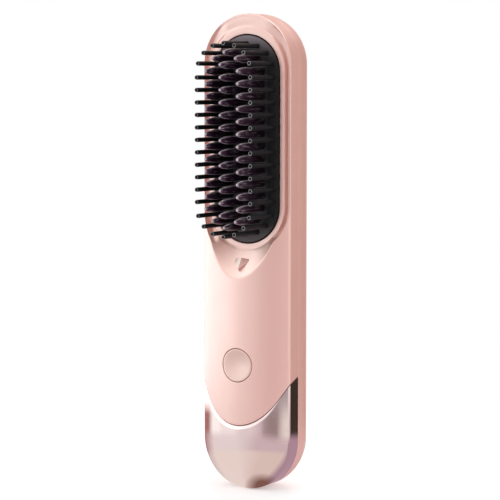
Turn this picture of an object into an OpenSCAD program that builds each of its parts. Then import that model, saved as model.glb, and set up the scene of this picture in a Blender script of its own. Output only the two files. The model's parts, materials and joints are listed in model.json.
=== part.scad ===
// Cordless hair straightening brush, in millimetres.
// It stands on its charging end: +Z runs up to the top of the head and -Y is the bristle side.
// Inside the modules y = 0 is the plane of the bristle pad, and placed() moves that plane so
// that the origin is under the middle of the whole brush.

/* [Body] */
// Overall length from the charging end to the top of the head
body_l = 200; // [196:1:240]
// Width of the casing, which is also the diameter of its round ends
body_w = 42; // [42:0.5:51]
// Height of the crowned handle front above the bristle pad plane
crown_h = 8.5; // [8:0.1:10.2]
// Depth of the flat back behind the bristle pad plane
back_d = 25; // [24:0.5:30]
// Radius of the two long rear corners
back_r = 15; // [13:0.5:16]
// Radius of the edge between the crown and a side wall
shoulder_r = 2; // [1.6:0.1:2.4]
// Wall of the moulded casing
wall = 2; // [1.7:0.1:2.4]
// Depth of the parting line between the front and rear shells behind the pad plane
parting_d = 7; // [6:0.5:8]

/* [Bristle pad] */
// Radius of the pad's round ends, which is half its width
pad_r = 15.6; // [15:0.1:16]
// Distance from the top of the head to the top of the pad
pad_margin = 8.7; // [8:0.1:12]
// Straight length of the pad beyond its first and last full bristle rows
pad_end_gap = 2.2; // [1.5:0.1:4]
// Dark gap between the pad and its collar
pad_gap = 0.25; // [0.15:0.05:0.4]
// Width of the raised collar round the pad
collar_w = 2.25; // [1.8:0.05:2.4]
// Depth of the groove between the collar and the rim of the head
groove_d = 2.2; // [1.5:0.1:2.6]
// Slope of the groove's flanks, measured across
groove_draft = 0.6; // [0.3:0.1:0.8]
// Rim left outside the groove
rim_w = 0.7; // [0.6:0.1:1.2]
// How far the groove follows the collar round the lower end, in degrees
groove_wrap = 40; // [20:5:60]
// Thickness of the floor under the groove
groove_floor = 1.2; // [1:0.1:1.6]

/* [Bristles] */
// Full rows of bristles along the straight part, an odd number
rows = 11; // [9:2:13]
// Distance between rows
row_pitch = 5.14; // [4.9:0.01:6.2]
// Diameter of a cool outer bristle
pin_d = 1.9; // [1.6:0.1:2.3]
// Height of a cool bristle above the pad
pin_h = 19; // [16:0.5:23]
// Distance of the cool bristle columns from the centre line
pin_x = 12.9; // [12.6:0.1:13.2]
// Reach of the cool bristle arc beyond the last row's centre
pin_arc = 11.8; // [11.6:0.1:12.6]
// Cool bristles in each end arc, an odd number
pins_per_arc = 7; // [5:2:7]
// Step between cool bristles in an end arc, in degrees
pin_arc_step = 24.2; // [22:0.1:25]
// Depth of the socket that holds a cool bristle
pin_socket = 3.4; // [2.5:0.1:3.8]
// Length of a heated tooth at its root, along the brush
tooth_l = 3.45; // [3:0.05:3.6]
// Width of a heated tooth at its root, across the brush
tooth_w = 2.2; // [1.8:0.1:2.4]
// Height of the centre column of heated teeth above the pad
tooth_h = 22.2; // [18:0.1:26]
// How much lower the flanking columns are
flank_drop = 1.1; // [0:0.1:2]
// How much lower the outermost teeth are
end_drop = 3.2; // [0:0.1:4]
// Distance of the flanking columns from the centre line
flank_x = 7.6; // [7.4:0.1:7.8]
// Distance of the four corner teeth from the centre line
corner_tooth_x = 5.4; // [5:0.1:5.6]
// Distance of the corner teeth beyond the straight part of the pad
corner_tooth_rise = 5.51; // [5.3:0.01:5.7]
// Distance of the outermost centre teeth inside the round end of the heating plate
end_tooth_inset = 2.02; // [1.9:0.01:2.4]
// Length of the heat-insulating cap on a tooth
tip_l = 3; // [2:0.1:4]
// Wall of that cap
tip_t = 0.35; // [0.3:0.05:0.45]

/* [Basin and indicator] */
// Height of the basin's lowest point on the handle, measured down from the pad's lower edge
basin_drop = 14.3; // [12:0.1:18]
// Slope of the basin's floor, in degrees from the length of the brush
basin_slope = 35; // [30:1:40]
// Radius of the basin's hollow, measured across the brush
basin_r = 24; // [22:0.5:30]
// Height of the indicator's centre above the basin's lowest point
lens_rise = 6.1; // [5:0.1:8]
// Width of the indicator lens
lens_w = 6; // [4:0.1:7]
// Height of the indicator lens along the slope
lens_l = 5.6; // [4:0.1:6.5]
// Height of the ridge down the middle of the lens
lens_ridge = 0.5; // [0.3:0.1:1]

/* [Power button] */
// Height of the button's centre above the charging end
button_z = 53.6; // [51:0.1:58]
// Diameter of the button
button_d = 13.8; // [11.5:0.1:16.6]
// Gap round the button
button_gap = 0.25; // [0.15:0.05:0.4]
// Travel of the button
button_travel = 0.5; // [0.3:0.05:0.5]
// Width of the flange that traps the button behind the front shell
button_lip = 0.7; // [0.6:0.05:1]
// Thickness of that flange
button_lip_t = 0.6; // [0.5:0.05:0.8]
// Side of the switch under the button
switch_w = 5.2; // [4.5:0.1:6]
// Height of the switch body
switch_h = 1.5; // [1.4:0.1:2]
// Diameter of the switch plunger
plunger_d = 3; // [2.5:0.1:3.5]
// Height of the plunger above the switch body
plunger_rise = 0.6; // [0.6:0.05:1]

/* [End cap] */
// Height of the lowest point of the front shell's tongue, on the crown
tongue_z = 28.3; // [27:0.1:31]
// Radius of the tongue's rounded end
tongue_r = 21.3; // [18:0.1:26]
// Angle of the tongue's straight flanks, in degrees from across
tongue_flank = 51.5; // [45:0.5:58]
// Backward lean of the tongue's edge, in degrees
tongue_lean = 20.6; // [0:0.1:22]
// Gap between the tongue and the cap
cap_gap = 0.3; // [0.2:0.1:0.4]
// Reach of the cap's inner lip under the tongue
cap_lip = 4; // [3:0.1:5]
// Thickness of that lip
cap_lip_t = 1; // [0.8:0.1:1.1]
// Diameter of the cap's two locating pegs
peg_d = 2.4; // [2:0.1:2.6]

/* [Heater] */
// Thickness of the heating plate
plate_t = 3.2; // [2.8:0.1:3.4]
// Radius of the heating plate's round ends
plate_r = 10.1; // [10:0.1:10.3]
// Width of the ledge along each straight side of the plate
plate_ledge = 1.1; // [0.8:0.1:1.2]
// Thickness of the heating film
film_t = 0.4; // [0.3:0.05:0.5]
// Thickness of the insulating pad
insulation_t = 1.2; // [1:0.1:1.4]
// Thickness of the clamp plate
clamp_t = 1.4; // [1.2:0.1:1.8]
// Width of the flange that seats the bristle frame behind its collar
frame_flange = 1.9; // [1.5:0.1:1.9]
// Diameter of the thermal fuse
fuse_d = 4; // [3:0.1:4.5]
// Length of the thermal fuse
fuse_l = 12; // [8:0.5:14]

/* [Battery and boards] */
// Diameter of a cell
cell_d = 18.4; // [16:0.1:18.5]
// Length of a cell
cell_l = 65; // [50:0.5:65.5]
// Height of the lower end of the cells
cell_z = 19.6; // [19.2:0.1:21]
// Space between the main board and the cells
cell_clear = 3.2; // [2.9:0.1:3.4]
// Height of the main board's lower end above the charging end
board_low = 44; // [43:0.5:46]
// Distance from the main board's upper end up to the basin's lowest point
board_top_gap = 0; // [0:0.5:4]
// Width of the main board
board_w = 24; // [22:0.5:25]
// Thickness of the main board
board_t = 1.2; // [1:0.1:1.6]
// Distance of the charging port behind the pad plane
port_y = 12.5; // [11.5:0.1:13]
// Width of the charging socket
socket_w = 8.94; // [8.9:0.02:9.1]
// Thickness of the charging socket
socket_t = 3.26; // [3.2:0.02:3.3]
// Length of the charging socket
socket_l = 7.4; // [6.5:0.1:8]
// Sheet thickness of the charging socket
socket_wall = 0.3; // [0.25:0.05:0.35]
// Thickness of the charging board
port_board_t = 1; // [0.8:0.1:1.2]
// Width of the charging board
port_board_w = 10; // [9.5:0.5:12]
// Length of the charging board
port_board_l = 13; // [12:0.5:14]

/* [Fasteners and fits] */
// Radius of a casing or clamp screw's thread core
screw_r = 0.8; // [0.7:0.05:0.9]
// Radius of a screw head
screw_head_r = 1.8; // [1.6:0.05:1.9]
// Height of a screw head
screw_head_h = 1; // [0.8:0.1:1.1]
// Radius of a screw boss
boss_r = 2; // [1.9:0.1:2.2]
// Distance of the casing screws and their arms from the centre line
arm_x = 8; // [7.8:0.1:8.2]
// Width of an arm
arm_w = 5; // [4:0.1:5]
// Thickness of an arm
arm_t = 1.6; // [1.4:0.1:1.8]
// Radial clearance of a pin in its socket
fit = 0.02; // [0.01:0.01:0.05]
// Radial clearance of a screw in the piece that it clamps
screw_clear = 0.2; // [0.1:0.05:0.3]
// Clearance between parts that slide past each other
slide_gap = 0.1; // [0.08:0.01:0.15]
// Radius of an insulated lead
lead_r = 0.7; // [0.5:0.05:0.8]

/* [Hidden] */
$fn = 96;

far = 60;
shell_pink = [0.91, 0.74, 0.70];
cap_rose = [0.80, 0.64, 0.64];
bristle_black = [0.10, 0.10, 0.11];
tooth_purple = [0.16, 0.10, 0.16];
tip_grey = [0.45, 0.40, 0.44];
metal_grey = [0.70, 0.70, 0.72];
board_green = [0.10, 0.36, 0.22];
chip_black = [0.12, 0.12, 0.13];
lead_red = [0.62, 0.12, 0.12];

// How far an arc of radius r falls away at distance x from its top
function sag(x, r) = r - sqrt(r * r - x * x);

// How far the casing reaches from its axis at depth y, drawn inset millimetres inside its outer face
function reach(y, inset) =
    y < back_d - back_r
        ? end_r - inset
        : end_r - back_r + sqrt(pow(back_r - inset, 2) - pow(y - back_d + back_r, 2));

// Height of a point that lies rise beyond the pad's straight part, at its upper (1) or lower (-1) end
function pad_end(end, rise) = pad_mid + end * (pad_straight / 2 + rise);

// Casing
end_r = body_w / 2;
body_low = end_r;
body_high = body_l - end_r;
crown_r = (end_r * end_r + crown_h * crown_h) / (2 * crown_h);
crown_y = crown_r - crown_h;
middle_y = (back_d - tooth_h) / 2;
lap_t = 0.7;
lap_h = 1.5;

// Pad
pad_straight = (rows - 1) * row_pitch + 2 * pad_end_gap;
pad_high = body_l - pad_margin - pad_r;
pad_low = pad_high - pad_straight;
pad_mid = (pad_high + pad_low) / 2;
collar_in = pad_r + pad_gap;
collar_out = collar_in + collar_w;
groove_out = end_r - rim_w;
tray_d = groove_d + groove_floor;
tray_end_gap = 1;
tray_low = pad_low - pad_r - frame_flange - tray_end_gap;

// Basin
basin_z = pad_low - pad_r - basin_drop;
lens_z = basin_z + lens_rise;
lens_y = -crown_h + lens_rise * tan(basin_slope);
lens_t = 2.4;

// Bristles
half_rows = (rows - 1) / 2;
pin_places = concat(
    [for (k = [-half_rows : half_rows], side = [-1, 1]) [side * pin_x, pad_mid + k * row_pitch]],
    [
        for (k = [-(pins_per_arc - 1) / 2 : (pins_per_arc - 1) / 2], end = [-1, 1])
            [pin_x * sin(k * pin_arc_step), pad_end(end, pin_arc * cos(k * pin_arc_step))]
    ]
);
tooth_places = concat(
    [for (k = [-half_rows - 1 : half_rows + 1]) [0, pad_mid + k * row_pitch, tooth_h]],
    [for (end = [-1, 1]) [0, pad_end(end, plate_r - end_tooth_inset), tooth_h - end_drop]],
    [
        for (k = [-half_rows - 1 : half_rows], side = [-1, 1])
            [side * flank_x, pad_mid + (k + 0.5) * row_pitch, tooth_h - flank_drop]
    ],
    [
        for (side = [-1, 1], end = [-1, 1])
            [side * corner_tooth_x, pad_end(end, corner_tooth_rise), tooth_h - end_drop]
    ]
);
tenon_r = 0.8;
tenon_l = 1.6;

// Heater stack, front to back behind the plate
film_y = plate_t;
insulation_y = film_y + film_t;
clamp_y = insulation_y + insulation_t;
frame_t = clamp_y;
ledge_y = 1.2;
clamp_ear_r = screw_head_r;
clamp_hole_high = body_l - wall - lap_t - slide_gap - clamp_ear_r;
clamp_hole_low = pad_low - pad_r - frame_flange - clamp_ear_r - 0.6;
clamp_inset = 1;
clamp_back = clamp_y + clamp_t;
clamp_bite_high = 1.8;
clamp_bite_low = 3.6;
film_inset = 1;
film_slot = [1.2, 12];
film_slot_z = 12;
insulation_inset = 0.4;
thermistor_r = 1.1;
fuse_z = pad_mid + 10;
lead_x = 2.5;
lead_hole_r = lead_r + slide_gap;

// Button, switch and main board, stacked down from the inside of the crown
button_flange_r = button_d / 2 + button_lip;
button_flange_y = -(crown_h - wall - sag(button_flange_r, crown_r - wall)) + slide_gap;
switch_gap = 0.05;
plunger_y = button_flange_y + button_lip_t + switch_gap;
plunger_root = 0.4;
switch_y = plunger_y + plunger_rise;
board_y = switch_y + switch_h;
board_back = board_y + board_t;
board_high = basin_z - board_top_gap;
board_boss_x = 9.5;
board_boss_z = [board_low + 3, board_high - 3];
board_hole_depth = 2.8;
led = [1.6, 0.7, 1.2];
chip = [7, 0.9, 7];
chip_z = board_high - 22;
transistor = [5, 1, 6];
transistor_x = 4;
transistor_z = board_high - 12;
coil = [7, 2.6, 7];
coil_z = board_low + 18;

// Cells
cell_r = cell_d / 2;
cell_x = cell_r + 0.05;
cell_y = board_back + cell_clear + cell_r;
cell_high = cell_z + cell_l;
tab_t = 0.3;
tab_w = 6;
tab_end = 4;
cradle_lap = 2;
cradle_inset = 4;
cradle_gap = 6;
cradle_web = 1;
cell_lead_x = 6;

// Casing screws at the charging end
screw_z = 12.5;
arm_y = board_back + 0.2;
arm_web_low = tongue_z + cap_lip + 6.7;
arm_web_high = arm_web_low + 3;
arm_web_y = -(crown_h - sag(arm_x + arm_w / 2, crown_r)) + 0.5;
screw_boss_r = 2.8;
screw_l = 8.5;
screw_tip_gap = 0.5;
peg_x = 7.5;
peg_z = 6;
peg_tip_y = 8;
peg_boss_y = 4;

// Charging port
socket_z = 0.9;
port_margin = 0.35;
port_board_y = port_y + socket_t / 2;
port_board_back = port_board_y + port_board_t;
port_board_low = end_r - sqrt(pow(reach(port_board_back, wall), 2) - pow(port_board_w / 2, 2)) + slide_gap;
port_board_high = port_board_low + port_board_l;
port_screw_z = port_board_high - 3;
port_screw_l = 3.5;
socket_back_t = 1;
contact_tongue = [6.6, 0.7];
contact_tongue_inset = 0.8;
port_lead_x = 1.5;

module placed() {
    translate([0, -middle_y, 0]) children();
}

// Cylinder along y from y1 to y2 at [x, z]
module rod(x, z, y1, y2, r) {
    translate([x, y1, z]) rotate([-90, 0, 0]) cylinder(h = y2 - y1, r = r);
}

// Everything between two depths
module slab(y1, y2) {
    translate([-far, y1, -far]) cube([2 * far, y2 - y1, body_l + 2 * far]);
}

// Block from one corner to the other
module block(low, high) {
    translate(low) cube(high - low);
}

// Lead that runs straight between points, rounded where it bends
module lead(points, r = lead_r) {
    for (i = [0 : len(points) - 2]) {
        step = points[i + 1] - points[i];
        run = norm(step);
        translate(points[i])
            rotate([0, acos(step[2] / run), atan2(step[1], step[0])])
                cylinder(h = run, r = r, $fn = 24);
    }
    for (i = [1 : 1 : len(points) - 2]) translate(points[i]) sphere(r * 1.08, $fn = 24);
}

// Cross-section of the casing, drawn inset millimetres inside its outer face
module section(inset) {
    half = end_r - inset;
    r = crown_r - inset;
    edge_r = max(shoulder_r - inset, 0.3);
    edge_x = half - edge_r;
    edge_y = crown_y - sqrt(pow(r - edge_r, 2) - pow(edge_x, 2));
    corner_x = end_r - back_r;
    corner_y = back_d - back_r;
    intersection() {
        translate([0, crown_y]) circle(r);
        polygon([
            [0, crown_y],
            [-2 * edge_x, 2 * edge_y - crown_y],
            [2 * edge_x, 2 * edge_y - crown_y]
        ]);
    }
    for (side = [-1, 1]) {
        translate([side * edge_x, edge_y]) circle(edge_r);
        translate([side * corner_x, corner_y]) circle(back_r - inset);
    }
    translate([-half, edge_y]) square([2 * half, corner_y - edge_y]);
    translate([-corner_x, edge_y]) square([2 * corner_x, back_d - inset - edge_y]);
}

// The casing's whole form: the cross-section drawn along z with a half turn at each end
module body(inset) {
    translate([0, 0, body_low]) linear_extrude(body_high - body_low) section(inset);
    translate([0, 0, body_low]) half_turn(0) section(inset);
    translate([0, 0, body_high]) half_turn(180) section(inset);
}

// Half turn of a cross-section about the y axis, downwards from 0 and upwards from 180
module half_turn(start, angle = 180) {
    rotate([-90, 0, 0]) rotate_extrude(angle = angle, start = start) intersection() {
        children();
        translate([0, -far]) square([far, 2 * far]);
    }
}

// A half cross-section (x >= 0) carried round a stadium from z1 to z2
module stadium(z1, z2) {
    translate([0, 0, z1]) linear_extrude(z2 - z1) {
        children();
        mirror([1, 0]) children();
    }
    translate([0, 0, z1]) half_turn(0) children();
    translate([0, 0, z2]) half_turn(180) children();
}

// Stadium plate of end radius r between two depths
module pad_plate(r, y1, y2) {
    stadium(pad_low, pad_high) translate([0, y1]) square([r, y2 - y1]);
}

// Cross-section of the recess round the pad, out to the rim of the head
module groove_section() {
    polygon([
        [0, -far],
        [groove_out, -far],
        [groove_out, 0],
        [groove_out - groove_draft, groove_d],
        [0, groove_d]
    ]);
}

// Everything cut from the head in front of the groove's floor, apart from the collar
module head_recess() {
    difference() {
        union() {
            translate([0, 0, pad_low]) linear_extrude(body_high - pad_low) {
                groove_section();
                mirror([1, 0]) groove_section();
            }
            translate([0, 0, body_high]) half_turn(180) groove_section();
            translate([0, 0, pad_low]) half_turn(0, groove_wrap) groove_section();
            translate([0, 0, pad_low]) half_turn(180 - groove_wrap, groove_wrap) groove_section();
        }
        stadium(pad_low, pad_high) polygon([
            [0, 0],
            [collar_out, 0],
            [collar_out + groove_draft, groove_d + 1],
            [0, groove_d + 1]
        ]);
    }
    pad_plate(collar_out, -far, 0);
}

// The basin below the pad: a tilted round hollow, grown by a wall for its underside,
// down to a floor and up to a height
module basin(grow, floor_y, top) {
    intersection() {
        translate([0, -crown_h, basin_z])
            rotate([-basin_slope, 0, 0])
                translate([0, -basin_r, -far])
                    cylinder(h = 2 * far, r = basin_r + grow);
        block([-far, -far, 0], [far, floor_y, top]);
    }
}

// Everything inside the edge of the front shell's tongue, grown by a gap
module tongue(grow) {
    r = tongue_r + grow;
    tip = tongue_z * cos(tongue_lean) + crown_h * sin(tongue_lean);
    centre = tip + tongue_r;
    run = 2 * body_l;
    rotate([90 + tongue_lean, 0, 0]) linear_extrude(run, center = true) {
        translate([0, centre]) circle(r);
        polygon([
            for (side = [-1, 1]) [side * r * sin(tongue_flank), centre - r * cos(tongue_flank)],
            for (side = [1, -1]) [
                side * (r * sin(tongue_flank) + run * cos(tongue_flank)),
                centre - r * cos(tongue_flank) + run * sin(tongue_flank)
            ]
        ]);
    }
}

// Outline of the indicator, seen square to the slope
module lens_outline(grow) {
    half = lens_w / 2 + grow;
    top = lens_l * 0.36 + grow;
    polygon([
        [-half, top],
        [-half, top - lens_l * 0.3],
        [0, top - lens_l - 2 * grow],
        [half, top - lens_l * 0.3],
        [half, top]
    ]);
}

// Moves a piece drawn flat, with +z out of the surface, onto the basin's slope
module on_slope() {
    translate([0, lens_y, lens_z]) rotate([90 - basin_slope, 0, 0]) children();
}

// The hollow behind the front: it stays clear of the tray under the pad and of the basin's wall
module front_hollow() {
    difference() {
        difference() {
            body(wall);
            block([-far, -far, tray_low], [far, tray_d, body_l + 1]);
        }
        basin(wall, tray_d, tray_low);
    }
}

// The front of the casing with its recess, basin and pad opening
module front_wall() {
    difference() {
        difference() {
            difference() {
                difference() {
                    difference() {
                        body(0);
                        head_recess();
                    }
                    basin(0, 0, pad_low);
                }
                pad_plate(collar_in, -1, far);
            }
            front_hollow();
        }
        slab(parting_d, far);
    }
}

module screw_arm(x) {
    block([x - arm_w / 2, arm_y, screw_z], [x + arm_w / 2, arm_y + arm_t, arm_web_high]);
    rod(x, screw_z, arm_y, arm_y + arm_t, arm_w / 2);
    block([x - arm_w / 2, arm_web_y, arm_web_low], [x + arm_w / 2, arm_y + arm_t, arm_web_high]);
}

module board_boss(x, z) {
    rod(x, z, -(crown_h - sag(abs(x) + boss_r, crown_r)) + 0.4, board_y, boss_r);
}

module front_shell() {
    color(shell_pink) placed() difference() {
        union() {
            intersection() {
                front_wall();
                tongue(0);
            }
            for (side = [-1, 1]) {
                screw_arm(side * arm_x);
                for (z = board_boss_z) board_boss(side * board_boss_x, z);
            }
            rod(0, clamp_hole_high, groove_d + 0.6, clamp_y, clamp_ear_r);
            rod(0, clamp_hole_low, -0.6, clamp_y, clamp_ear_r);
        }
        rod(0, button_z, -far, board_y - 1, button_d / 2 + button_gap);
        on_slope() translate([0, 0, -far / 2]) linear_extrude(far) lens_outline(slide_gap / 2);
        for (side = [-1, 1]) {
            rod(side * arm_x, screw_z, arm_y - 1, arm_y + arm_t + 1, screw_r + screw_clear);
            for (z = board_boss_z)
                rod(side * board_boss_x, z, board_y - board_hole_depth, board_y + 1, screw_r + fit);
        }
        rod(0, clamp_hole_high, clamp_y - clamp_bite_high - 0.2, clamp_y + 1, screw_r + fit);
        rod(0, clamp_hole_low, clamp_y - clamp_bite_low - 0.4, clamp_y + 1, screw_r + fit);
    }
}

module rear_shell() {
    color(shell_pink) placed() difference() {
        union() {
            difference() {
                body(0);
                body(wall);
                slab(-far, parting_d);
            }
            difference() {
                body(wall - 0.2);
                body(wall + lap_t);
                slab(-far, parting_d);
                slab(parting_d + 1, far);
            }
            difference() {
                body(wall + slide_gap / 2);
                body(wall + lap_t);
                slab(-far, parting_d - lap_h);
                slab(parting_d + 0.5, far);
            }
            intersection() {
                union() {
                    for (side = [-1, 1]) {
                        rod(side * arm_x, screw_z, arm_y + arm_t, back_d, screw_boss_r);
                        rod(side * peg_x, peg_z, peg_boss_y, back_d, boss_r);
                    }
                    rod(0, port_screw_z, port_board_back, back_d, boss_r);
                }
                body(wall / 2);
            }
        }
        for (side = [-1, 1]) {
            rod(side * arm_x, screw_z, arm_y, arm_y + screw_l + screw_tip_gap, screw_r + fit);
            rod(side * peg_x, peg_z, 0, peg_tip_y + 0.5, peg_d / 2 + fit);
        }
        rod(0, port_screw_z, port_board_y, port_board_back + port_screw_l + 0.5, screw_r + fit);
        port_slot(port_margin, -1, socket_z + wall + 2);
    }
}

// Rounded slot along z for the charging socket, grown by a margin
module port_slot(grow, z1, z2) {
    r = socket_t / 2 + grow;
    x = socket_w / 2 - socket_t / 2;
    translate([0, port_y, z1]) linear_extrude(z2 - z1) {
        for (side = [-1, 1]) translate([side * x, 0]) circle(r);
        square([2 * x, 2 * r], center = true);
    }
}

// Layer of the casing in front of a depth, between two distances inside its outer face
module front_layer(outer, inner, depth) {
    difference() {
        difference() {
            body(outer);
            body(inner);
        }
        slab(depth, far);
    }
}

// Mirror-finished cap: its wall, a thicker band along the tongue, a lip under the tongue and two pegs
module end_cap() {
    lip_in = wall + slide_gap + cap_lip_t;
    lip_depth = parting_d - lap_h - 0.5;
    peg_reach = norm([peg_x + peg_d / 2, peg_z - end_r]);
    peg_root = -crown_h + sag(peg_reach, crown_r) + wall / 2;
    color(cap_rose) placed() {
        difference() {
            front_layer(0, wall, parting_d);
            tongue(cap_gap);
        }
        difference() {
            intersection() {
                front_layer(wall - 0.5, lip_in, lip_depth);
                block([-far, -far, tongue_z - cap_lip], [far, far, tongue_z + far / 2]);
            }
            tongue(cap_gap);
        }
        intersection() {
            difference() {
                front_layer(wall + slide_gap, lip_in, lip_depth);
                tongue(-cap_lip);
            }
            tongue(cap_gap + 0.5);
        }
        for (side = [-1, 1]) rod(side * peg_x, peg_z, peg_root, peg_tip_y, peg_d / 2);
    }
}

// Bristle pad
module bristle_frame() {
    color(bristle_black) placed() difference() {
        union() {
            pad_plate(pad_r, 0, frame_t);
            pad_plate(pad_r + frame_flange, tray_d, frame_t);
        }
        pad_plate(plate_r + slide_gap, -1, frame_t + 1);
        block(
            [-plate_r - plate_ledge - slide_gap, ledge_y, pad_low - slide_gap],
            [plate_r + plate_ledge + slide_gap, frame_t + 1, pad_high + slide_gap]
        );
        for (p = pin_places) rod(p[0], p[1], -1, pin_socket, pin_d / 2 + fit);
    }
}

module cool_bristles() {
    bevel = 0.45;
    tip_r = pin_d * 0.33;
    color(bristle_black) placed() for (p = pin_places) {
        rod(p[0], p[1], bevel - pin_h, pin_socket, pin_d / 2);
        translate([p[0], bevel - pin_h, p[1]])
            rotate([90, 0, 0]) cylinder(h = bevel, r1 = pin_d / 2, r2 = tip_r);
    }
}

module heating_plate() {
    color(chip_black) placed() difference() {
        union() {
            pad_plate(plate_r, 0, plate_t);
            block([-plate_r - plate_ledge, ledge_y, pad_low], [plate_r + plate_ledge, plate_t, pad_high]);
        }
        for (p = tooth_places) rod(p[0], p[1], -1, tenon_l, tenon_r + fit);
    }
}

// A heated tooth that stands on the plate: an almond in plan, narrowing to a blunt tip.
// inset draws it smaller all round, for the core under its cap.
module tooth(height, inset) {
    half_l = tooth_l / 2;
    half_w = tooth_w / 2;
    arc_r = (half_l * half_l + half_w * half_w) / (2 * half_w);
    top = height - inset;
    neck = height - 0.9;
    intersection() {
        rotate([90, 0, 0]) linear_extrude(top) intersection_for (side = [-1, 1])
            translate([side * (arc_r - half_w), 0]) circle(arc_r - inset, $fn = 48);
        rotate([0, -90, 0]) linear_extrude(tooth_w, center = true) rotate([0, 0, 180]) polygon([
            [-half_l + inset, 0],
            [half_l - inset, 0],
            [half_l * 0.56 - inset, neck],
            [half_l * 0.34 - inset, top],
            [-half_l * 0.34 + inset, top],
            [-half_l * 0.56 + inset, neck]
        ]);
        linear_extrude(tooth_l, center = true) rotate([0, 0, 180]) polygon([
            [-half_w + inset, 0],
            [half_w - inset, 0],
            [half_w * 0.72 - inset, neck],
            [half_w * 0.45 - inset, top],
            [-half_w * 0.45 + inset, top],
            [-half_w * 0.72 + inset, neck]
        ]);
    }
}

module heated_teeth() {
    color(tooth_purple) placed() for (p = tooth_places) translate([p[0], 0, p[1]]) {
        difference() {
            tooth(p[2], 0);
            slab(-far, tip_l - p[2]);
        }
        tooth(p[2], tip_t);
        rod(0, 0, -0.5, tenon_l - fit, tenon_r);
    }
}

module tooth_tips() {
    color(tip_grey) placed() for (p = tooth_places) translate([p[0], 0, p[1]]) difference() {
        tooth(p[2], 0);
        slab(tip_l - p[2], far);
        tooth(p[2], tip_t - fit);
    }
}

// Heater stack behind the plate
module heater_film() {
    color([0.72, 0.45, 0.16]) placed() difference() {
        pad_plate(plate_r - film_inset, film_y, film_y + film_t);
        for (side = [-1, 1]) translate([0, film_y, pad_mid + side * film_slot_z])
            cube([film_slot[0], 3 * film_t, film_slot[1]], center = true);
    }
}

module heater_insulation() {
    color([0.86, 0.84, 0.78]) placed() difference() {
        pad_plate(plate_r - insulation_inset, insulation_y, insulation_y + insulation_t);
        rod(0, pad_mid, 0, far, thermistor_r + slide_gap);
        for (side = [-1, 1]) rod(side * lead_x, pad_low, 0, far, lead_hole_r);
    }
}

module heater_clamp() {
    color(metal_grey) placed() difference() {
        union() {
            pad_plate(pad_r - clamp_inset, clamp_y, clamp_back);
            for (z = [clamp_hole_low, clamp_hole_high]) rod(0, z, clamp_y, clamp_back, clamp_ear_r);
            block([-clamp_ear_r, clamp_y, clamp_hole_low], [clamp_ear_r, clamp_back, clamp_hole_high]);
        }
        for (z = [clamp_hole_low, clamp_hole_high]) rod(0, z, 0, far, screw_r + screw_clear);
        for (side = [-1, 1]) rod(side * lead_x, pad_low, 0, far, lead_hole_r);
    }
}

// Pan-head screw with its head's underside at y and its shank towards y + l for dir = 1
module screw(x, z, y, l, dir) {
    if (dir > 0) {
        rod(x, z, y, y + l, screw_r);
        rod(x, z, y - screw_head_h, y, screw_head_r);
    } else {
        rod(x, z, y - l, y, screw_r);
        rod(x, z, y, y + screw_head_h, screw_head_r);
    }
}

module clamp_screws() {
    color(metal_grey) placed() {
        screw(0, clamp_hole_high, clamp_back, clamp_t + clamp_bite_high, -1);
        screw(0, clamp_hole_low, clamp_back, clamp_t + clamp_bite_low, -1);
    }
}

module thermistor() {
    color([0.75, 0.55, 0.25]) placed() rod(0, pad_mid, insulation_y, clamp_y - slide_gap, thermistor_r);
}

module thermal_fuse() {
    color([0.86, 0.86, 0.84]) placed()
        translate([0, clamp_back + fuse_d / 2 + slide_gap, fuse_z - fuse_l / 2])
            cylinder(h = fuse_l, d = fuse_d);
}

// Button, switch and indicator
module power_button() {
    color(shell_pink) placed() {
        intersection() {
            body(0);
            rod(0, button_z, -crown_h - 1, button_flange_y + 0.3, button_d / 2);
        }
        rod(0, button_z, button_flange_y, button_flange_y + button_lip_t, button_flange_r);
    }
}

module switch_body() {
    color(metal_grey) placed() difference() {
        block(
            [-switch_w / 2, switch_y, button_z - switch_w / 2],
            [switch_w / 2, board_y, button_z + switch_w / 2]
        );
        rod(0, button_z, -far, switch_y + button_travel + plunger_root + 0.1, plunger_d / 2 + slide_gap);
    }
}

module switch_plunger() {
    color(chip_black) placed() rod(0, button_z, plunger_y, switch_y + plunger_root, plunger_d / 2);
}

module indicator_lens() {
    half = lens_w / 2;
    color([0.88, 0.62, 0.62]) placed() on_slope() intersection() {
        translate([0, 0, -lens_t]) linear_extrude(lens_t + lens_ridge) lens_outline(0);
        rotate([90, 0, 0]) linear_extrude(2 * lens_l, center = true) polygon([
            [-half, -lens_t],
            [half, -lens_t],
            [half, 0],
            [0, lens_ridge],
            [-half, 0]
        ]);
    }
}

module status_led() {
    color("white") placed()
        translate([-led[0] / 2, board_y - led[1], board_high - 1 - led[2]]) cube(led);
}

// Boards
module main_board() {
    color(board_green) placed() difference() {
        block([-board_w / 2, board_y, board_low], [board_w / 2, board_back, board_high]);
        for (side = [-1, 1], z = board_boss_z)
            rod(side * board_boss_x, z, -far, far, screw_r + screw_clear);
    }
}

module controller_chip() {
    color(chip_black) placed()
        translate([-chip[0] / 2, board_y - chip[1], chip_z]) cube(chip);
}

module power_transistors() {
    color(chip_black) placed() for (side = [-1, 1])
        translate([side * transistor_x - transistor[0] / 2, board_y - transistor[1], transistor_z])
            cube(transistor);
}

module inductor() {
    color([0.35, 0.33, 0.32]) placed()
        translate([-coil[0] / 2, board_back, coil_z]) cube(coil);
}

module board_screws() {
    color(metal_grey) placed() {
        for (side = [-1, 1], z = board_boss_z)
            screw(side * board_boss_x, z, board_back, board_t + board_hole_depth - 0.3, -1);
        screw(0, port_screw_z, port_board_y, port_board_t + port_screw_l, 1);
    }
}

module charging_board() {
    color(board_green) placed() difference() {
        block(
            [-port_board_w / 2, port_board_y, port_board_low],
            [port_board_w / 2, port_board_back, port_board_high]
        );
        rod(0, port_screw_z, 0, far, screw_r + screw_clear);
    }
}

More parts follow.
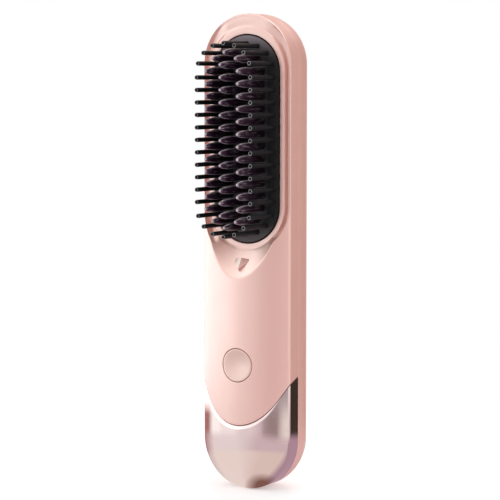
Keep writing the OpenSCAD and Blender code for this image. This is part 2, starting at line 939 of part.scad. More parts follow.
module charging_socket() {
    color(metal_grey) placed() difference() {
        port_slot(0, socket_z, socket_z + socket_l);
        port_slot(-socket_wall, socket_z - 1, socket_z + socket_l - socket_back_t);
    }
}

module socket_tongue() {
    color(chip_black) placed()
        translate([-contact_tongue[0] / 2, port_y - contact_tongue[1] / 2, socket_z + contact_tongue_inset])
            cube([
                contact_tongue[0],
                contact_tongue[1],
                socket_l - socket_back_t - contact_tongue_inset
            ]);
}

// Battery
module battery_cells() {
    color([0.35, 0.55, 0.70]) placed() for (side = [-1, 1])
        translate([side * cell_x, cell_y, cell_z]) cylinder(h = cell_l, r = cell_r);
}

module battery_tabs() {
    color(metal_grey) placed() for (z = [cell_z - tab_t, cell_high])
        translate([-cell_x - tab_end, cell_y - tab_w / 2, z])
            cube([2 * (cell_x + tab_end), tab_w, tab_t]);
}

module battery_cradle() {
    color([0.82, 0.82, 0.80]) placed() difference() {
        intersection() {
            body(wall + slide_gap);
            block([-far, cell_y + cradle_lap, cell_z + cradle_inset], [far, far, cell_high - cradle_inset]);
        }
        for (side = [-1, 1])
            translate([side * cell_x, cell_y, 0]) cylinder(h = body_l, r = cell_r + slide_gap);
        block([-cradle_gap / 2, cell_y + cell_r - cradle_web, 0], [cradle_gap / 2, far, body_l]);
    }
}

// Leads
module battery_leads() {
    y = cell_y - tab_w / 2 + 1;
    front = board_back + 2;
    top = cell_high + tab_t + 2.4;
    joint_z = min(top, board_high - 2.7);
    color(lead_red) placed() for (side = [-1, 1])
        lead([
            [side * cell_lead_x, y, cell_high + tab_t],
            [side * cell_lead_x, y, top],
            if (joint_z < top) [side * cell_lead_x, front, top],
            if (joint_z < top) [side * cell_lead_x, front, joint_z],
            [side * cell_lead_x, board_back, joint_z]
        ]);
}

module heater_leads() {
    back = clamp_back + lead_r + 0.4;
    turn_z = max(basin_z + 4, cell_high + 9.4);
    color([0.85, 0.85, 0.85]) placed() for (side = [-1, 1])
        lead([
            [side * lead_x, insulation_y, pad_low],
            [side * lead_x, back, pad_low],
            [side * lead_x, back, turn_z],
            [side * lead_x, board_back + 2, board_high - 1.5],
            [side * lead_x, board_back, board_high - 1.5]
        ]);
}

module charging_leads() {
    low = port_board_high - 1.2;
    y = board_back + lead_r + 1;
    color(lead_red) placed() for (side = [-1, 1])
        lead([
            [side * 2 * port_lead_x, port_board_y, low],
            [side * 2 * port_lead_x, y, low],
            [side * port_lead_x, y, cell_z + 4],
            [side * port_lead_x, y, board_low + 1.5],
            [side * port_lead_x, board_back, board_low + 1.5]
        ]);
}

module shell_screws() {
    color(metal_grey) placed() for (side = [-1, 1])
        screw(side * arm_x, screw_z, arm_y, screw_l, 1);
}

front_shell();
rear_shell();
end_cap();
bristle_frame();
cool_bristles();
heating_plate();
heated_teeth();
tooth_tips();
heater_film();
heater_insulation();
heater_clamp();
clamp_screws();
thermistor();
thermal_fuse();
power_button();
switch_body();
switch_plunger();
indicator_lens();
status_led();
main_board();
controller_chip();
power_transistors();
inductor();
board_screws();
battery_cells();
battery_tabs();
battery_cradle();
battery_leads();
heater_leads();
charging_board();
charging_socket();
socket_tongue();
charging_leads();
shell_screws();
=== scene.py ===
"""Looks of a cordless hair straightening brush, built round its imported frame.

Lengths are in millimetres until a point is placed. A point of the brush is (x, height, z): x is
across, z runs up the brush, and height counts from the plane of the bristle pad towards the tips
of the bristles, so what lies behind the pad has a negative height.
"""
import json
import logging
import math
from dataclasses import dataclass, replace
from enum import Enum
from typing import Callable, Iterable, Sequence

import bmesh
import bpy
from mathutils import Matrix, Vector


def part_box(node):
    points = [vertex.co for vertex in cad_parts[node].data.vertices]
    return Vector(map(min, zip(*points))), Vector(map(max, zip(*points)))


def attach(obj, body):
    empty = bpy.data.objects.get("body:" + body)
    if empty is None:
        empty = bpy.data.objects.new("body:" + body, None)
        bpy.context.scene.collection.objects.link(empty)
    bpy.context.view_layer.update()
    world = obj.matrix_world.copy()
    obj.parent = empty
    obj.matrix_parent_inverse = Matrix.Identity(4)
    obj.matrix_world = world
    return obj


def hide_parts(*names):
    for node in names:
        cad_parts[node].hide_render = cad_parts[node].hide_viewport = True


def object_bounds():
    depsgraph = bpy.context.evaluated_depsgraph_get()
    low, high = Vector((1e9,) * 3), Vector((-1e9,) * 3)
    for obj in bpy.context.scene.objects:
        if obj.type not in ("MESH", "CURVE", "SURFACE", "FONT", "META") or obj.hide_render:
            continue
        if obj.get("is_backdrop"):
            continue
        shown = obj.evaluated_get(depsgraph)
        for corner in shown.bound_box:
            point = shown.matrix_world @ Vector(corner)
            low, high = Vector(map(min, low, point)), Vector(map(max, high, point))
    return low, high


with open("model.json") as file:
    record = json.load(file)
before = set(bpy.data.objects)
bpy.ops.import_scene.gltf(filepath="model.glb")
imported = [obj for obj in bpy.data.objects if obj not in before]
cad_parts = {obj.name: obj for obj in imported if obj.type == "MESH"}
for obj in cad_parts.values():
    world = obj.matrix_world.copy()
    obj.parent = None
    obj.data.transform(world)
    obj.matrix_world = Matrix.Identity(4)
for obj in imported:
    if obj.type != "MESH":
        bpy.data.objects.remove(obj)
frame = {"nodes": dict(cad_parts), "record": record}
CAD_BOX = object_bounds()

LOG = logging.getLogger("brush")
MM = 0.001
MERGE = 0.001 * MM  # points that lie nearer than this are one
NEAR = 0.01 * MM  # a point this near to a plane lies on it
Flat = tuple[float, float]
Point = tuple[float, float, float]
Pair = tuple[Point, Point]
Tint = tuple[float, float, float]
Colour = tuple[float, float, float, float]
WHITE: Colour = (1.0, 1.0, 1.0, 1.0)


def colour(red: float, green: float, blue: float) -> Colour:
    """Turns a colour as it looks on a screen, from 0 to 255, into the shader's linear values.

    Args:
        red: Red share.
        green: Green share.
        blue: Blue share.

    Returns:
        The linear colour with full alpha.
    """
    def linear(value: float) -> float:
        """Undoes the screen's curve for one channel."""
        share = value / 255
        return share / 12.92 if share <= 0.04045 else ((share + 0.055) / 1.055) ** 2.4
    return linear(red), linear(green), linear(blue), 1.0


def mix(a: float, b: float, share: float) -> float:
    """Value at a share of the way from a to b."""
    return a + (b - a) * share


def ease(low: float, high: float, value: float) -> float:
    """Smooth step from 0 at low to 1 at high."""
    share = min(1.0, max(0.0, (value - low) / (high - low)))
    return share * share * (3 - 2 * share)


def soft_min(a: float, b: float, blend: float) -> float:
    """Lesser of two values, rounded over where they are less than blend apart."""
    share = min(1.0, max(0.0, 0.5 + 0.5 * (b - a) / blend))
    return mix(b, a, share) - blend * share * (1 - share)


def soft_max(a: float, b: float, blend: float) -> float:
    """Greater of two values, rounded over where they are less than blend apart."""
    return -soft_min(-a, -b, blend)


def rounded(corners: Sequence[Point], steps: int = 6) -> list[Flat]:
    """Rounds the corners of a line.

    Args:
        corners: Each corner's two coordinates, and how far from it its rounding starts.
        steps: Points in each rounding.

    Returns:
        The points of the rounded line.
    """
    line = []
    for k, (a, b, cut) in enumerate(corners):
        if cut == 0:
            line.append((a, b))
            continue
        here = Vector((a, b))
        before = (Vector(corners[k - 1][:2]) - here).normalized() * cut + here
        after = (Vector(corners[k + 1][:2]) - here).normalized() * cut + here
        for i in range(steps + 1):
            t = i / steps
            point = before * (1 - t) ** 2 + here * 2 * t * (1 - t) + after * t * t
            line.append((point.x, point.y))
    return line


def spaced(line: Sequence[Flat], count: int) -> list[Flat]:
    """Points at equal steps along a line.

    Args:
        line: The line's corners.
        count: How many points to return.

    Returns:
        The points, with both ends.
    """
    runs = [math.dist(a, b) for a, b in zip(line, line[1:])]
    total, points, k, passed = sum(runs), [], 0, 0.0
    for i in range(count):
        goal = total * i / (count - 1)
        while k < len(runs) - 1 and passed + runs[k] < goal:
            passed += runs[k]
            k += 1
        share = min(1.0, (goal - passed) / runs[k])
        points.append(tuple(mix(a, b, share) for a, b in zip(line[k], line[k + 1])))
    return points


def bearing(azimuth: float, elevation: float) -> Vector:
    """Way that lies azimuth radians from the front towards +X, and elevation radians above level."""
    level = math.cos(elevation)
    return Vector((math.sin(azimuth) * level, -math.cos(azimuth) * level, math.sin(elevation)))


def linked(name: str, data: bpy.types.ID) -> bpy.types.Object:
    """Makes an object of a mesh, a lamp or a camera, and links it to the scene.

    Args:
        name: Its name.
        data: The mesh, lamp or camera.

    Returns:
        The object.
    """
    made = bpy.data.objects.new(name, data)
    bpy.context.scene.collection.objects.link(made)
    return made


def select_only(*pieces: bpy.types.Object) -> None:
    """Selects pieces and nothing else, and makes the first of them active.

    Args:
        pieces: The pieces.
    """
    bpy.ops.object.select_all(action="DESELECT")
    for piece in pieces:
        piece.select_set(True)
    bpy.context.view_layer.objects.active = pieces[0]


@dataclass(frozen=True)
class Rib:
    """A point of the casing's cross-section with its outward direction."""

    x: float
    height: float
    out_x: float
    out_height: float

    def inset(self, depth: float) -> Flat:
        """The point depth millimetres inside the surface, as (x, height)."""
        return self.x - depth * self.out_x, self.height - depth * self.out_height

    def pair(self, z: float, inset: float, wall: float) -> Pair:
        """Points at z on the two faces of a wall, of which the outer one is inset."""
        (x, height), (in_x, in_height) = self.inset(inset), self.inset(wall)
        return (x, height, z), (in_x, in_height, z)


@dataclass(frozen=True)
class Casing:
    """Outer form that the shells and the cap share."""

    length: float
    half_width: float
    crown_height: float
    back_depth: float
    pad_y: float
    shoulder_r: float = 2.0
    back_r: float = 15.0
    parting: float = 7.0
    pad_high: float = 175.7
    pad_low: float = 119.9
    basin_z: float = 90.0
    basin_slope: float = math.radians(35)
    basin_r: float = 24.0
    basin_rim: float = 1.0
    tongue_z: float = 28.3
    tongue_r: float = 21.3
    tongue_flank: float = math.radians(51.5)
    tongue_lean: float = math.radians(20.6)
    button_z: float = 53.6

    @classmethod
    def from_frame(cls) -> "Casing":
        """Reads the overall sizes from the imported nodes.

        Returns:
            The outer form.
        """
        front_low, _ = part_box("front_shell")
        _, rear_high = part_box("rear_shell")
        pad_low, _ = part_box("bristle_frame")
        return cls(
            length=rear_high.z / MM,
            half_width=rear_high.x / MM,
            crown_height=(pad_low.y - front_low.y) / MM,
            back_depth=(rear_high.y - pad_low.y) / MM,
            pad_y=pad_low.y / MM,
        )

    @property
    def low(self) -> float:
        """z of the lower round end's centre."""
        return self.half_width

    @property
    def high(self) -> float:
        """z of the upper round end's centre."""
        return self.length - self.half_width

    @property
    def crown_r(self) -> float:
        """Radius of the crowned front."""
        return (self.half_width ** 2 + self.crown_height ** 2) / (2 * self.crown_height)

    @property
    def shoulder(self) -> Flat:
        """Centre of the edge between crown and side wall, as (x, height).

        Returns:
            The centre on the right side.
        """
        x = self.half_width - self.shoulder_r
        drop = self.crown_r - self.crown_height - math.sqrt((self.crown_r - self.shoulder_r) ** 2 - x * x)
        return x, -drop

    @property
    def shoulder_start(self) -> float:
        """Angle from straight ahead at which the crown runs into the shoulder."""
        x, height = self.shoulder
        return math.atan2(x, height + self.crown_r - self.crown_height)

    def crown_rib(self, x: float) -> Rib:
        """Rib of the crown at x."""
        up = math.sqrt(self.crown_r ** 2 - x * x)
        return Rib(x, up - self.crown_r + self.crown_height, x / self.crown_r, up / self.crown_r)

    def shoulder_rib(self, angle: float) -> Rib:
        """Rib of the right shoulder at an angle from straight ahead.

        Args:
            angle: Angle from straight ahead.

        Returns:
            The rib.
        """
        x, height = self.shoulder
        out_x, out_height = math.sin(angle), math.cos(angle)
        return Rib(x + self.shoulder_r * out_x, height + self.shoulder_r * out_height, out_x, out_height)

    def front(self, x: float) -> float:
        """Height of the casing's front at x.

        Args:
            x: Distance across from the middle.

        Returns:
            Height above the pad's plane.
        """
        centre, height = self.shoulder
        beyond = abs(x) - centre
        if abs(x) <= centre + self.shoulder_r * math.sin(self.shoulder_start):
            return self.crown_rib(abs(x)).height
        return height + math.sqrt(max(0.0, self.shoulder_r ** 2 - beyond ** 2))

    def basin(self, x: float, z: float) -> float:
        """Height of the tilted hollow below the pad.

        Args:
            x: Distance across from the middle.
            z: Height up the brush.

        Returns:
            Height above the pad's plane.
        """
        reach = min(abs(x), self.basin_r - self.basin_rim)
        rise = (self.basin_r - math.sqrt(self.basin_r ** 2 - reach ** 2)) / math.cos(self.basin_slope)
        return self.crown_height - (z - self.basin_z) * math.tan(self.basin_slope) + rise

    def tongue_edge(self, x: float, height: float) -> float:
        """z of the tongue's edge at a point of the front.

        Args:
            x: Distance across from the middle.
            height: Height above the pad's plane.

        Returns:
            The edge's z.
        """
        tip = self.tongue_z * math.cos(self.tongue_lean) + self.crown_height * math.sin(self.tongue_lean)
        centre = tip + self.tongue_r
        turn = self.tongue_r * math.sin(self.tongue_flank)
        if abs(x) < turn:
            edge = centre - math.sqrt(self.tongue_r ** 2 - x * x)
        else:
            edge = centre - self.tongue_r * math.cos(self.tongue_flank)
            edge += (abs(x) - turn) * math.tan(self.tongue_flank)
        return (edge - height * math.sin(self.tongue_lean)) / math.cos(self.tongue_lean)

    def place(self, x: float, height: float, z: float) -> Vector:
        """Point of the brush in the frame's metres."""
        return Vector((x, self.pad_y - height, z)) * MM

    def side_ribs(self, start: float) -> list[Rib]:
        """Ribs from the shoulder round to the parting line.

        Args:
            start: Angle on the shoulder at which the first rib lies.

        Returns:
            The ribs of the right side. The last few roll in to the fine seam at the parting line.
        """
        turns = 8
        ribs = [self.shoulder_rib(mix(start, math.pi / 2, k / turns)) for k in range(turns + 1)]
        drops = ((2.0, 0), (3.4, 0), (4.8, 0), (6.0, 0), (6.7, 0), (6.88, 0.01), (6.97, 0.03), (7.0, 0.07))
        share = self.parting / drops[-1][0]
        ribs += [Rib(self.half_width - inset, -drop * share, 1.0, 0.0) for drop, inset in drops]
        return ribs


CASING = Casing.from_frame()


class Slot(Enum):
    """Material slots of the record."""

    SHELL = "shell"
    BUTTON = "button"
    CAP = "cap"
    PAD = "pad"
    BRISTLE = "bristle"
    PLATE = "plate"
    TOOTH = "tooth"
    TOOTH_TIP = "tooth_tip"
    LENS = "lens"
    FILM = "film"
    INSULATION = "insulation"
    STEEL = "steel"
    BOARD = "board"
    CHIP = "chip"
    LED = "led"
    CERAMIC = "ceramic"
    CELL = "cell"
    CRADLE = "cradle"
    LEAD = "lead"


class Wire:
    """Output of a node. An expression on it adds the Math nodes that work it out."""

    def __init__(self, graph: "Graph", socket: bpy.types.NodeSocket) -> None:
        """Wraps a socket of a graph."""
        self.graph = graph
        self.socket = socket

    def math(self, operation: str, *values: "Wire | float") -> "Wire":
        """Adds a Math node on values, of which this wire is usually one."""
        return self.graph.add("ShaderNodeMath", dict(enumerate(values)), operation=operation)

    def __add__(self, other: "Wire | float") -> "Wire":
        """This plus other."""
        return self.math("ADD", self, other)

    def __sub__(self, other: "Wire | float") -> "Wire":
        """This less other."""
        return self.math("SUBTRACT", self, other)

    def __rsub__(self, other: float) -> "Wire":
        """Other less this."""
        return self.math("SUBTRACT", other, self)

    def __mul__(self, other: "Wire | float") -> "Wire":
        """This times other."""
        return self.math("MULTIPLY", self, other)

    def __pow__(self, other: float) -> "Wire":
        """This to a power."""
        return self.math("POWER", self, other)

    __radd__ = __add__
    __rmul__ = __mul__

    def most(self, other: "Wire | float") -> "Wire":
        """The greater of this and other."""
        return self.math("MAXIMUM", self, other)

    def ramp(self, low: float, high: float, start: float = 0.0, end: float = 1.0) -> "Wire":
        """Start at low to end at high, and level beyond both."""
        inputs = {"Value": self, "From Min": low, "From Max": high, "To Min": start, "To Max": end}
        return self.graph.add("ShaderNodeMapRange", inputs, clamp=True)

    def axis(self, name: str) -> "Wire":
        """X, Y or Z of this vector."""
        return self.graph.add("ShaderNodeSeparateXYZ", {"Vector": self}, name)


class Graph:
    """Node tree of a material or of the world."""

    def __init__(self, tree: bpy.types.NodeTree, output: str = "ShaderNodeOutputMaterial") -> None:
        """Empties a tree and gives it its output node.

        Args:
            tree: The node tree.
            output: Type of the output node.
        """
        self.tree = tree
        tree.nodes.clear()
        self.output = tree.nodes.new(output)

    def add(self, kind: str, inputs: dict[str | int, object] | None = None, output: str | int = 0,
            **settings: object) -> Wire:
        """Adds a node.

        Args:
            kind: The node's type.
            inputs: A value or a wire for each socket, by name or number.
            output: Name or number of the socket to return.
            settings: The node's settings, which are set first.

        Returns:
            The wire of the chosen output.
        """
        node = self.tree.nodes.new(kind)
        for key, value in settings.items():
            setattr(node, key, value)
        for key, value in (inputs or {}).items():
            if isinstance(value, Wire):
                self.tree.links.new(value.socket, node.inputs[key])
            else:
                node.inputs[key].default_value = value
        return Wire(self, node.outputs[output])

    def finish(self, surface: Wire) -> None:
        """Leads a shader to the output."""
        self.tree.links.new(surface.socket, self.output.inputs["Surface"])

    def place(self, stretch: Point = (1, 1, 1), turn: Point = (0, 0, 0)) -> Wire:
        """Object coordinates, stretched and turned."""
        spot = self.add("ShaderNodeTexCoord", output="Object")
        return self.add("ShaderNodeMapping", {"Vector": spot, "Scale": stretch, "Rotation": turn})

    def spot(self, axis: str) -> Wire:
        """Where the surface lies along an axis, in metres."""
        return self.place().axis(axis)

    def facing(self, axis: str) -> Wire:
        """How far the surface faces along an axis, from -1 to 1."""
        return self.add("ShaderNodeNewGeometry", output="Normal").axis(axis)

    def turning(self, blend: float) -> Wire:
        """How far the surface turns from view, from 0 to 1."""
        return self.add("ShaderNodeLayerWeight", {"Blend": blend}, "Facing")

    def noise(self, size: float, detail: float = 2.0, stretch: Point = (1, 1, 1)) -> Wire:
        """Cloudy pattern whose blots are about size millimetres across, from 0 to 1."""
        inputs = {"Vector": self.place(stretch), "Scale": 1 / (size * MM), "Detail": detail}
        return self.add("ShaderNodeTexNoise", inputs, "Fac")

    def cells(self, size: float, output: str = "Distance") -> Wire:
        """Cell pattern whose cells are about size millimetres across."""
        inputs = {"Vector": self.place(), "Scale": 1 / (size * MM)}
        return self.add("ShaderNodeTexVoronoi", inputs, output)

    def blend(self, share: Wire, low: object, high: object) -> Wire:
        """Colour at a share of the way from low to high."""
        return self.add("ShaderNodeMix", {"Factor": share, 6: low, 7: high}, 2, data_type="RGBA")

    def choose(self, share: Wire, low: Wire, high: Wire) -> Wire:
        """Shader at a share of the way from low to high."""
        return self.add("ShaderNodeMixShader", {0: share, 1: low, 2: high})

    def vector(self, operation: str, *values: Wire | Point | Vector, output: str = "Value") -> Wire:
        """Adds a Vector Math node on values."""
        return self.add("ShaderNodeVectorMath", dict(enumerate(values)), output, operation=operation)

    def bump(self, height: Wire, depth: float) -> Wire:
        """Normal of a relief depth millimetres deep."""
        return self.add("ShaderNodeBump", {"Height": height, "Distance": depth * MM, "Strength": 1.0})


def shade(tint: Colour, share: float) -> Colour:
    """A tint made darker or lighter by a share."""
    return tint[0] * share, tint[1] * share, tint[2] * share, 1.0


@dataclass(frozen=True)
class Finish:
    """Surface of one material slot, with a fine moulded grain."""

    tint: Colour
    roughness: float
    variation: float = 0.06
    patch: float = 12.0
    grain: float = 0.3
    grain_depth: float = 0.004
    metallic: float = 0.0
    coat: float = 0.0
    coat_roughness: float = 0.1
    ior: float = 1.5
    unevenness: float = 0.07

    def base(self, graph: Graph) -> Wire:
        """Colour over the surface."""
        return graph.blend(graph.noise(self.patch, 3.0), shade(self.tint, 1 - self.variation), self.tint)

    def dullness(self, graph: Graph) -> Wire:
        """Roughness over the surface."""
        least, most = (self.roughness * (1 + side * self.unevenness) for side in (-1, 1))
        return graph.noise(self.patch / 2).ramp(0.3, 0.7, least, most)

    def relief(self, graph: Graph) -> Wire:
        """Normal over the surface."""
        return graph.bump(graph.noise(self.grain), self.grain_depth)

    def material(self, name: str) -> bpy.types.Material:
        """Makes the material.

        Args:
            name: The material's name.

        Returns:
            The material.
        """
        made = bpy.data.materials.new(name)
        made.use_nodes = True
        graph = Graph(made.node_tree)
        graph.finish(graph.add("ShaderNodeBsdfPrincipled", {
            "Base Color": self.base(graph),
            "Roughness": self.dullness(graph),
            "Normal": self.relief(graph),
            "Metallic": self.metallic,
            "Coat Weight": self.coat,
            "Coat Roughness": self.coat_roughness,
            "IOR": self.ior,
        }, "BSDF"))
        return made


@dataclass(frozen=True)
class SatinCoating(Finish):
    """Soft pearl lacquer: fine bright flakes, a faint orange peel, and a hand's gloss on the grip."""

    flake: float = 0.16
    flake_share: float = 0.1
    flake_tint: Colour = colour(255, 246, 240)
    grip_start: Flat = (0.03, 0.075)
    grip_end: Flat = (0.14, 0.09)
    grip_gloss: float = 0.03
    grip_patch: float = 6.0
    peel: float = 1.3
    grain_share: float = 0.15

    def base(self, graph: Graph) -> Wire:
        """Even colour with flakes that catch the light."""
        flakes = graph.add("ShaderNodeRGBToBW", {"Color": graph.cells(self.flake, "Color")})
        return graph.blend(flakes ** 3.0 * self.flake_share, super().base(graph), self.flake_tint)

    def dullness(self, graph: Graph) -> Wire:
        """Slightly glossier where a hand holds the brush.

        Args:
            graph: Node tree of the material.

        Returns:
            The roughness.
        """
        height = graph.spot("Z")
        grip = height.ramp(*self.grip_start) * height.ramp(*self.grip_end)
        return super().dullness(graph) - self.grip_gloss * grip * graph.noise(self.grip_patch)

    def relief(self, graph: Graph) -> Wire:
        """Orange peel under the flakes' own grain."""
        grain = self.grain_share * graph.noise(0.2)
        return graph.bump(graph.noise(self.peel, 1.0) + grain, self.grain_depth)


@dataclass(frozen=True)
class MirrorPlating(Finish):
    """Bright plating with finger smears and hair-thin wiping marks."""

    smear: float = 9.0
    smear_dullness: float = 0.05
    wave: float = 14.0

    def dullness(self, graph: Graph) -> Wire:
        """Nearly clear, duller in the smears."""
        smears = graph.noise(self.smear, 4.0, (1.0, 1.0, 0.45)).ramp(0.45, 0.75)
        return self.roughness + self.smear_dullness * smears

    def relief(self, graph: Graph) -> Wire:
        """Wiping marks that run across the cap, on a faint wave."""
        marks = graph.noise(0.25, 2.0, (0.03, 0.03, 1.0)).ramp(0.62, 0.8)
        return graph.bump(marks + graph.noise(self.wave, 0.0), self.grain_depth)


@dataclass(frozen=True)
class SparkCoating(Finish):
    """Dark ceramic coating with fine sparks, and a painted sheen that pales its colour where the surface
    turns from view.
    """

    spark: Colour = colour(150, 130, 150)
    # colour of the painted sheen at grazing angles
    painted_sheen: Colour = colour(120, 96, 116)
    size: float = 0.22

    def base(self, graph: Graph) -> Wire:
        """Sparks on the dark ground, with the painted sheen where the surface turns from view.

        Args:
            graph: Node tree of the material.

        Returns:
            The colour.
        """
        sparks = graph.cells(self.size).ramp(0.18, 0.05) * graph.noise(0.9).ramp(0.5, 0.7)
        # painted sheen: the colour pales where the surface turns from view
        ground = graph.blend(graph.turning(0.25) ** 2.0 * 0.5, super().base(graph), self.painted_sheen)
        return graph.blend(sparks * 0.5, ground, self.spark)


@dataclass(frozen=True)
class RidgeHighlightPaint(SparkCoating):
    """Dark ceramic coating, paler towards the nose, with painted highlights along its edges and streaks and
    at the tip, and painted shade at the root.
    """

    spark: Colour = colour(124, 100, 120)
    # colour of the painted sheen at grazing angles
    painted_sheen: Colour = colour(74, 46, 70)
    # colour of the painted highlights on the edges, streaks and tip
    ridge: Colour = colour(228, 212, 222)
    nose: Colour = colour(72, 48, 68)
    # colour of the painted shade at the root
    root: Colour = colour(9, 6, 9)
    reach: float = 13.0
    nose_share: float = 0.7
    root_shade_share: float = 0.8
    under_highlight_share: float = 0.75
    streak_highlight_share: float = 0.34
    tip_highlight_share: float = 0.8

    def base(self, graph: Graph) -> Wire:
        """Painted highlights on the edges, streaks and tip, a paler nose and painted shade at the root, on
        the sparkling ground.

        Args:
            graph: Node tree of the material.

        Returns:
            The colour.
        """
        drop = graph.add("ShaderNodeAttribute", output="Fac", attribute_name="drop")
        rise = graph.facing("Z")
        reach = self.reach
        ground = graph.blend(drop.ramp(reach / 2, 0.0) * self.nose_share, super().base(graph), self.nose)
        # painted shade: darker towards the root, where less light reaches between the teeth
        ground = graph.blend(drop.ramp(reach * 0.7, reach * 1.2) * self.root_shade_share, ground, self.root)
        # painted highlights along the upper and lower edges of the teeth
        edges = rise.ramp(0.55, 0.93).most(rise.ramp(-0.7, -0.96, 0.0, self.under_highlight_share))
        # painted highlight streaks along the flanks
        painted_streaks = graph.noise(0.7, stretch=(1, 0.14, 1)).ramp(0.54, 0.68, 0.0, self.streak_highlight_share)
        # the painted highlights are strongest near the tip and fade towards the root, unevenly
        glint_strength = drop.ramp(reach, 3.0, 0.22, 1.0) * graph.noise(2.2).ramp(0.3, 0.6, 0.45, 1.0)
        painted_glint = edges.most(painted_streaks) * glint_strength
        # painted highlight: pale colour on the last millimetre of the tip
        return graph.blend(painted_glint.most(drop.ramp(1.2, 0.1, 0.0, self.tip_highlight_share)), ground, self.ridge)


@dataclass(frozen=True)
class PinGloss(Finish):
    """Black moulding with a painted highlight on the rim at its tip."""

    # colour of the painted highlight on the tip's rim
    rim: Colour = colour(228, 222, 226)
    rim_height: float = 19.0
    rim_drop: float = 0.24
    left_pin_glint_share: float = 0.4
    right_face_glint_share: float = 0.14

    def base(self, graph: Graph) -> Wire:
        """Painted highlight on the rim over the black ground, brightest at the right of the pad and on the
        pins' left faces.

        Args:
            graph: Node tree of the material.

        Returns:
            The colour.
        """
        crest = (CASING.pad_y - self.rim_height) * MM
        # painted highlight: a pale ring at the tip, dimmer on pins at the left of the pad, brightest on faces
        # turned to the left
        mask = graph.spot("Y").ramp(crest + self.rim_drop * MM, crest + 0.3 * self.rim_drop * MM)
        across = graph.spot("X").ramp(-0.012, 0.01, self.left_pin_glint_share, 1.0)
        painted_glint = across * graph.facing("X").ramp(0.3, -0.5, self.right_face_glint_share, 1.0)
        return graph.blend(mask * painted_glint, super().base(graph), self.rim)


@dataclass(frozen=True)
class PadGrain(Finish):
    """Speckled black moulding, with a painted grey sheen at its round ends and painted shade where it rolls
    into the gap.
    """

    speck: Colour = colour(120, 112, 116)
    # colour of the painted sheen at the round ends
    end_sheen_tint: Colour = colour(152, 142, 148)
    # colour of the painted shade in the gap
    gap_shade_tint: Colour = colour(6, 6, 7)
    upper_end: Flat = (0.179, 0.1915)
    lower_end: Flat = (0.113, 0.104)
    lower_sheen_share: float = 0.36
    speck_share: float = 0.1
    sheen_speck_share: float = 0.35

    def base(self, graph: Graph) -> Wire:
        """Specks and the painted sheen at the ends on the black ground, with painted shade on the rolled
        edge.

        Args:
            graph: Node tree of the material.

        Returns:
            The colour.
        """
        height = graph.spot("Z")
        # painted sheen: grey at the upper round end, fainter at the lower one
        lower = height.ramp(*self.lower_end, 0.0, self.lower_sheen_share)
        ends = (height.ramp(*self.upper_end) ** 2.0).most(lower)
        specks = graph.noise(0.45).ramp(0.56, 0.72)
        ground = graph.blend(ends, super().base(graph), self.end_sheen_tint)
        # the specks show more inside the painted sheen
        sparkling = specks * (self.speck_share + self.sheen_speck_share * ends)
        sparkled = graph.blend(sparkling, ground, self.speck)
        # painted shade: near black where the surface turns from the front, on the pad's rolled edge
        return graph.blend(graph.facing("Y").ramp(-0.97, -0.8), sparkled, self.gap_shade_tint)


@dataclass(frozen=True)
class ClearMoulding(Finish):
    """Cloudy, light-passing resin with a painted sheen that pales it where it turns from view."""

    # colour of the painted sheen at grazing angles
    rim: Colour = colour(255, 255, 250)

    def base(self, graph: Graph) -> Wire:
        """Painted sheen: paler where it turns from view."""
        # painted sheen: the colour pales where the surface turns from view
        return graph.blend(graph.turning(0.4), super().base(graph), self.rim)


@dataclass(frozen=True)
class FacetedWindow(Finish):
    """Tinted window: pale where its left facet gathers light, with painted shade in deeper pink on the right
    one.
    """

    # colour of the painted shade on the right facet
    right_facet_shade: Colour = colour(214, 158, 150)

    def base(self, graph: Graph) -> Wire:
        """Painted shade in deeper pink on the right facet and on edges that face right."""
        # painted shade on faces turned to the right
        return graph.blend(graph.facing("X").ramp(0.02, 0.14), super().base(graph), self.right_facet_shade)


@dataclass(frozen=True)
class Brushed(Finish):
    """Metal with drawn lines."""

    lines: Point = (0.02, 1.0, 1.0)

    def relief(self, graph: Graph) -> Wire:
        """Fine lines along one way."""
        return graph.bump(graph.noise(0.12, 3.0, self.lines), self.grain_depth)


@dataclass(frozen=True)
class SolderMask(Finish):
    """Green lacquer over copper tracks."""

    track: Colour = colour(46, 128, 84)
    pitch: float = 1.6
    track_depth: float = 0.03

    def tracks(self, graph: Graph) -> Wire:
        """Where the tracks run.

        Args:
            graph: Node tree of the material.

        Returns:
            A mask that is 1 on a track.
        """
        inputs = {"Vector": graph.place(turn=(math.pi / 2, 0, 0)), "Scale": 0.5 / (self.pitch * MM),
                  "Brick Width": 1.7, "Row Height": 0.35, "Mortar Size": 0.05}
        return graph.add("ShaderNodeTexBrick", inputs, "Fac")

    def base(self, graph: Graph) -> Wire:
        """Tracks show paler."""
        return graph.blend(self.tracks(graph), super().base(graph), self.track)

    def relief(self, graph: Graph) -> Wire:
        """Tracks stand a little proud."""
        return graph.bump(self.tracks(graph), self.track_depth)


@dataclass(frozen=True)
class Fibrous(Finish):
    """Felt of short tangled fibres."""

    def base(self, graph: Graph) -> Wire:
        """Fibres of two lengths."""
        fibres = graph.noise(0.5, 8.0, (1.0, 1.0, 0.3)) * graph.noise(0.4, 8.0, (0.3, 1.0, 1.0))
        return graph.blend(fibres.ramp(0.1, 0.45), shade(self.tint, 0.7), self.tint)


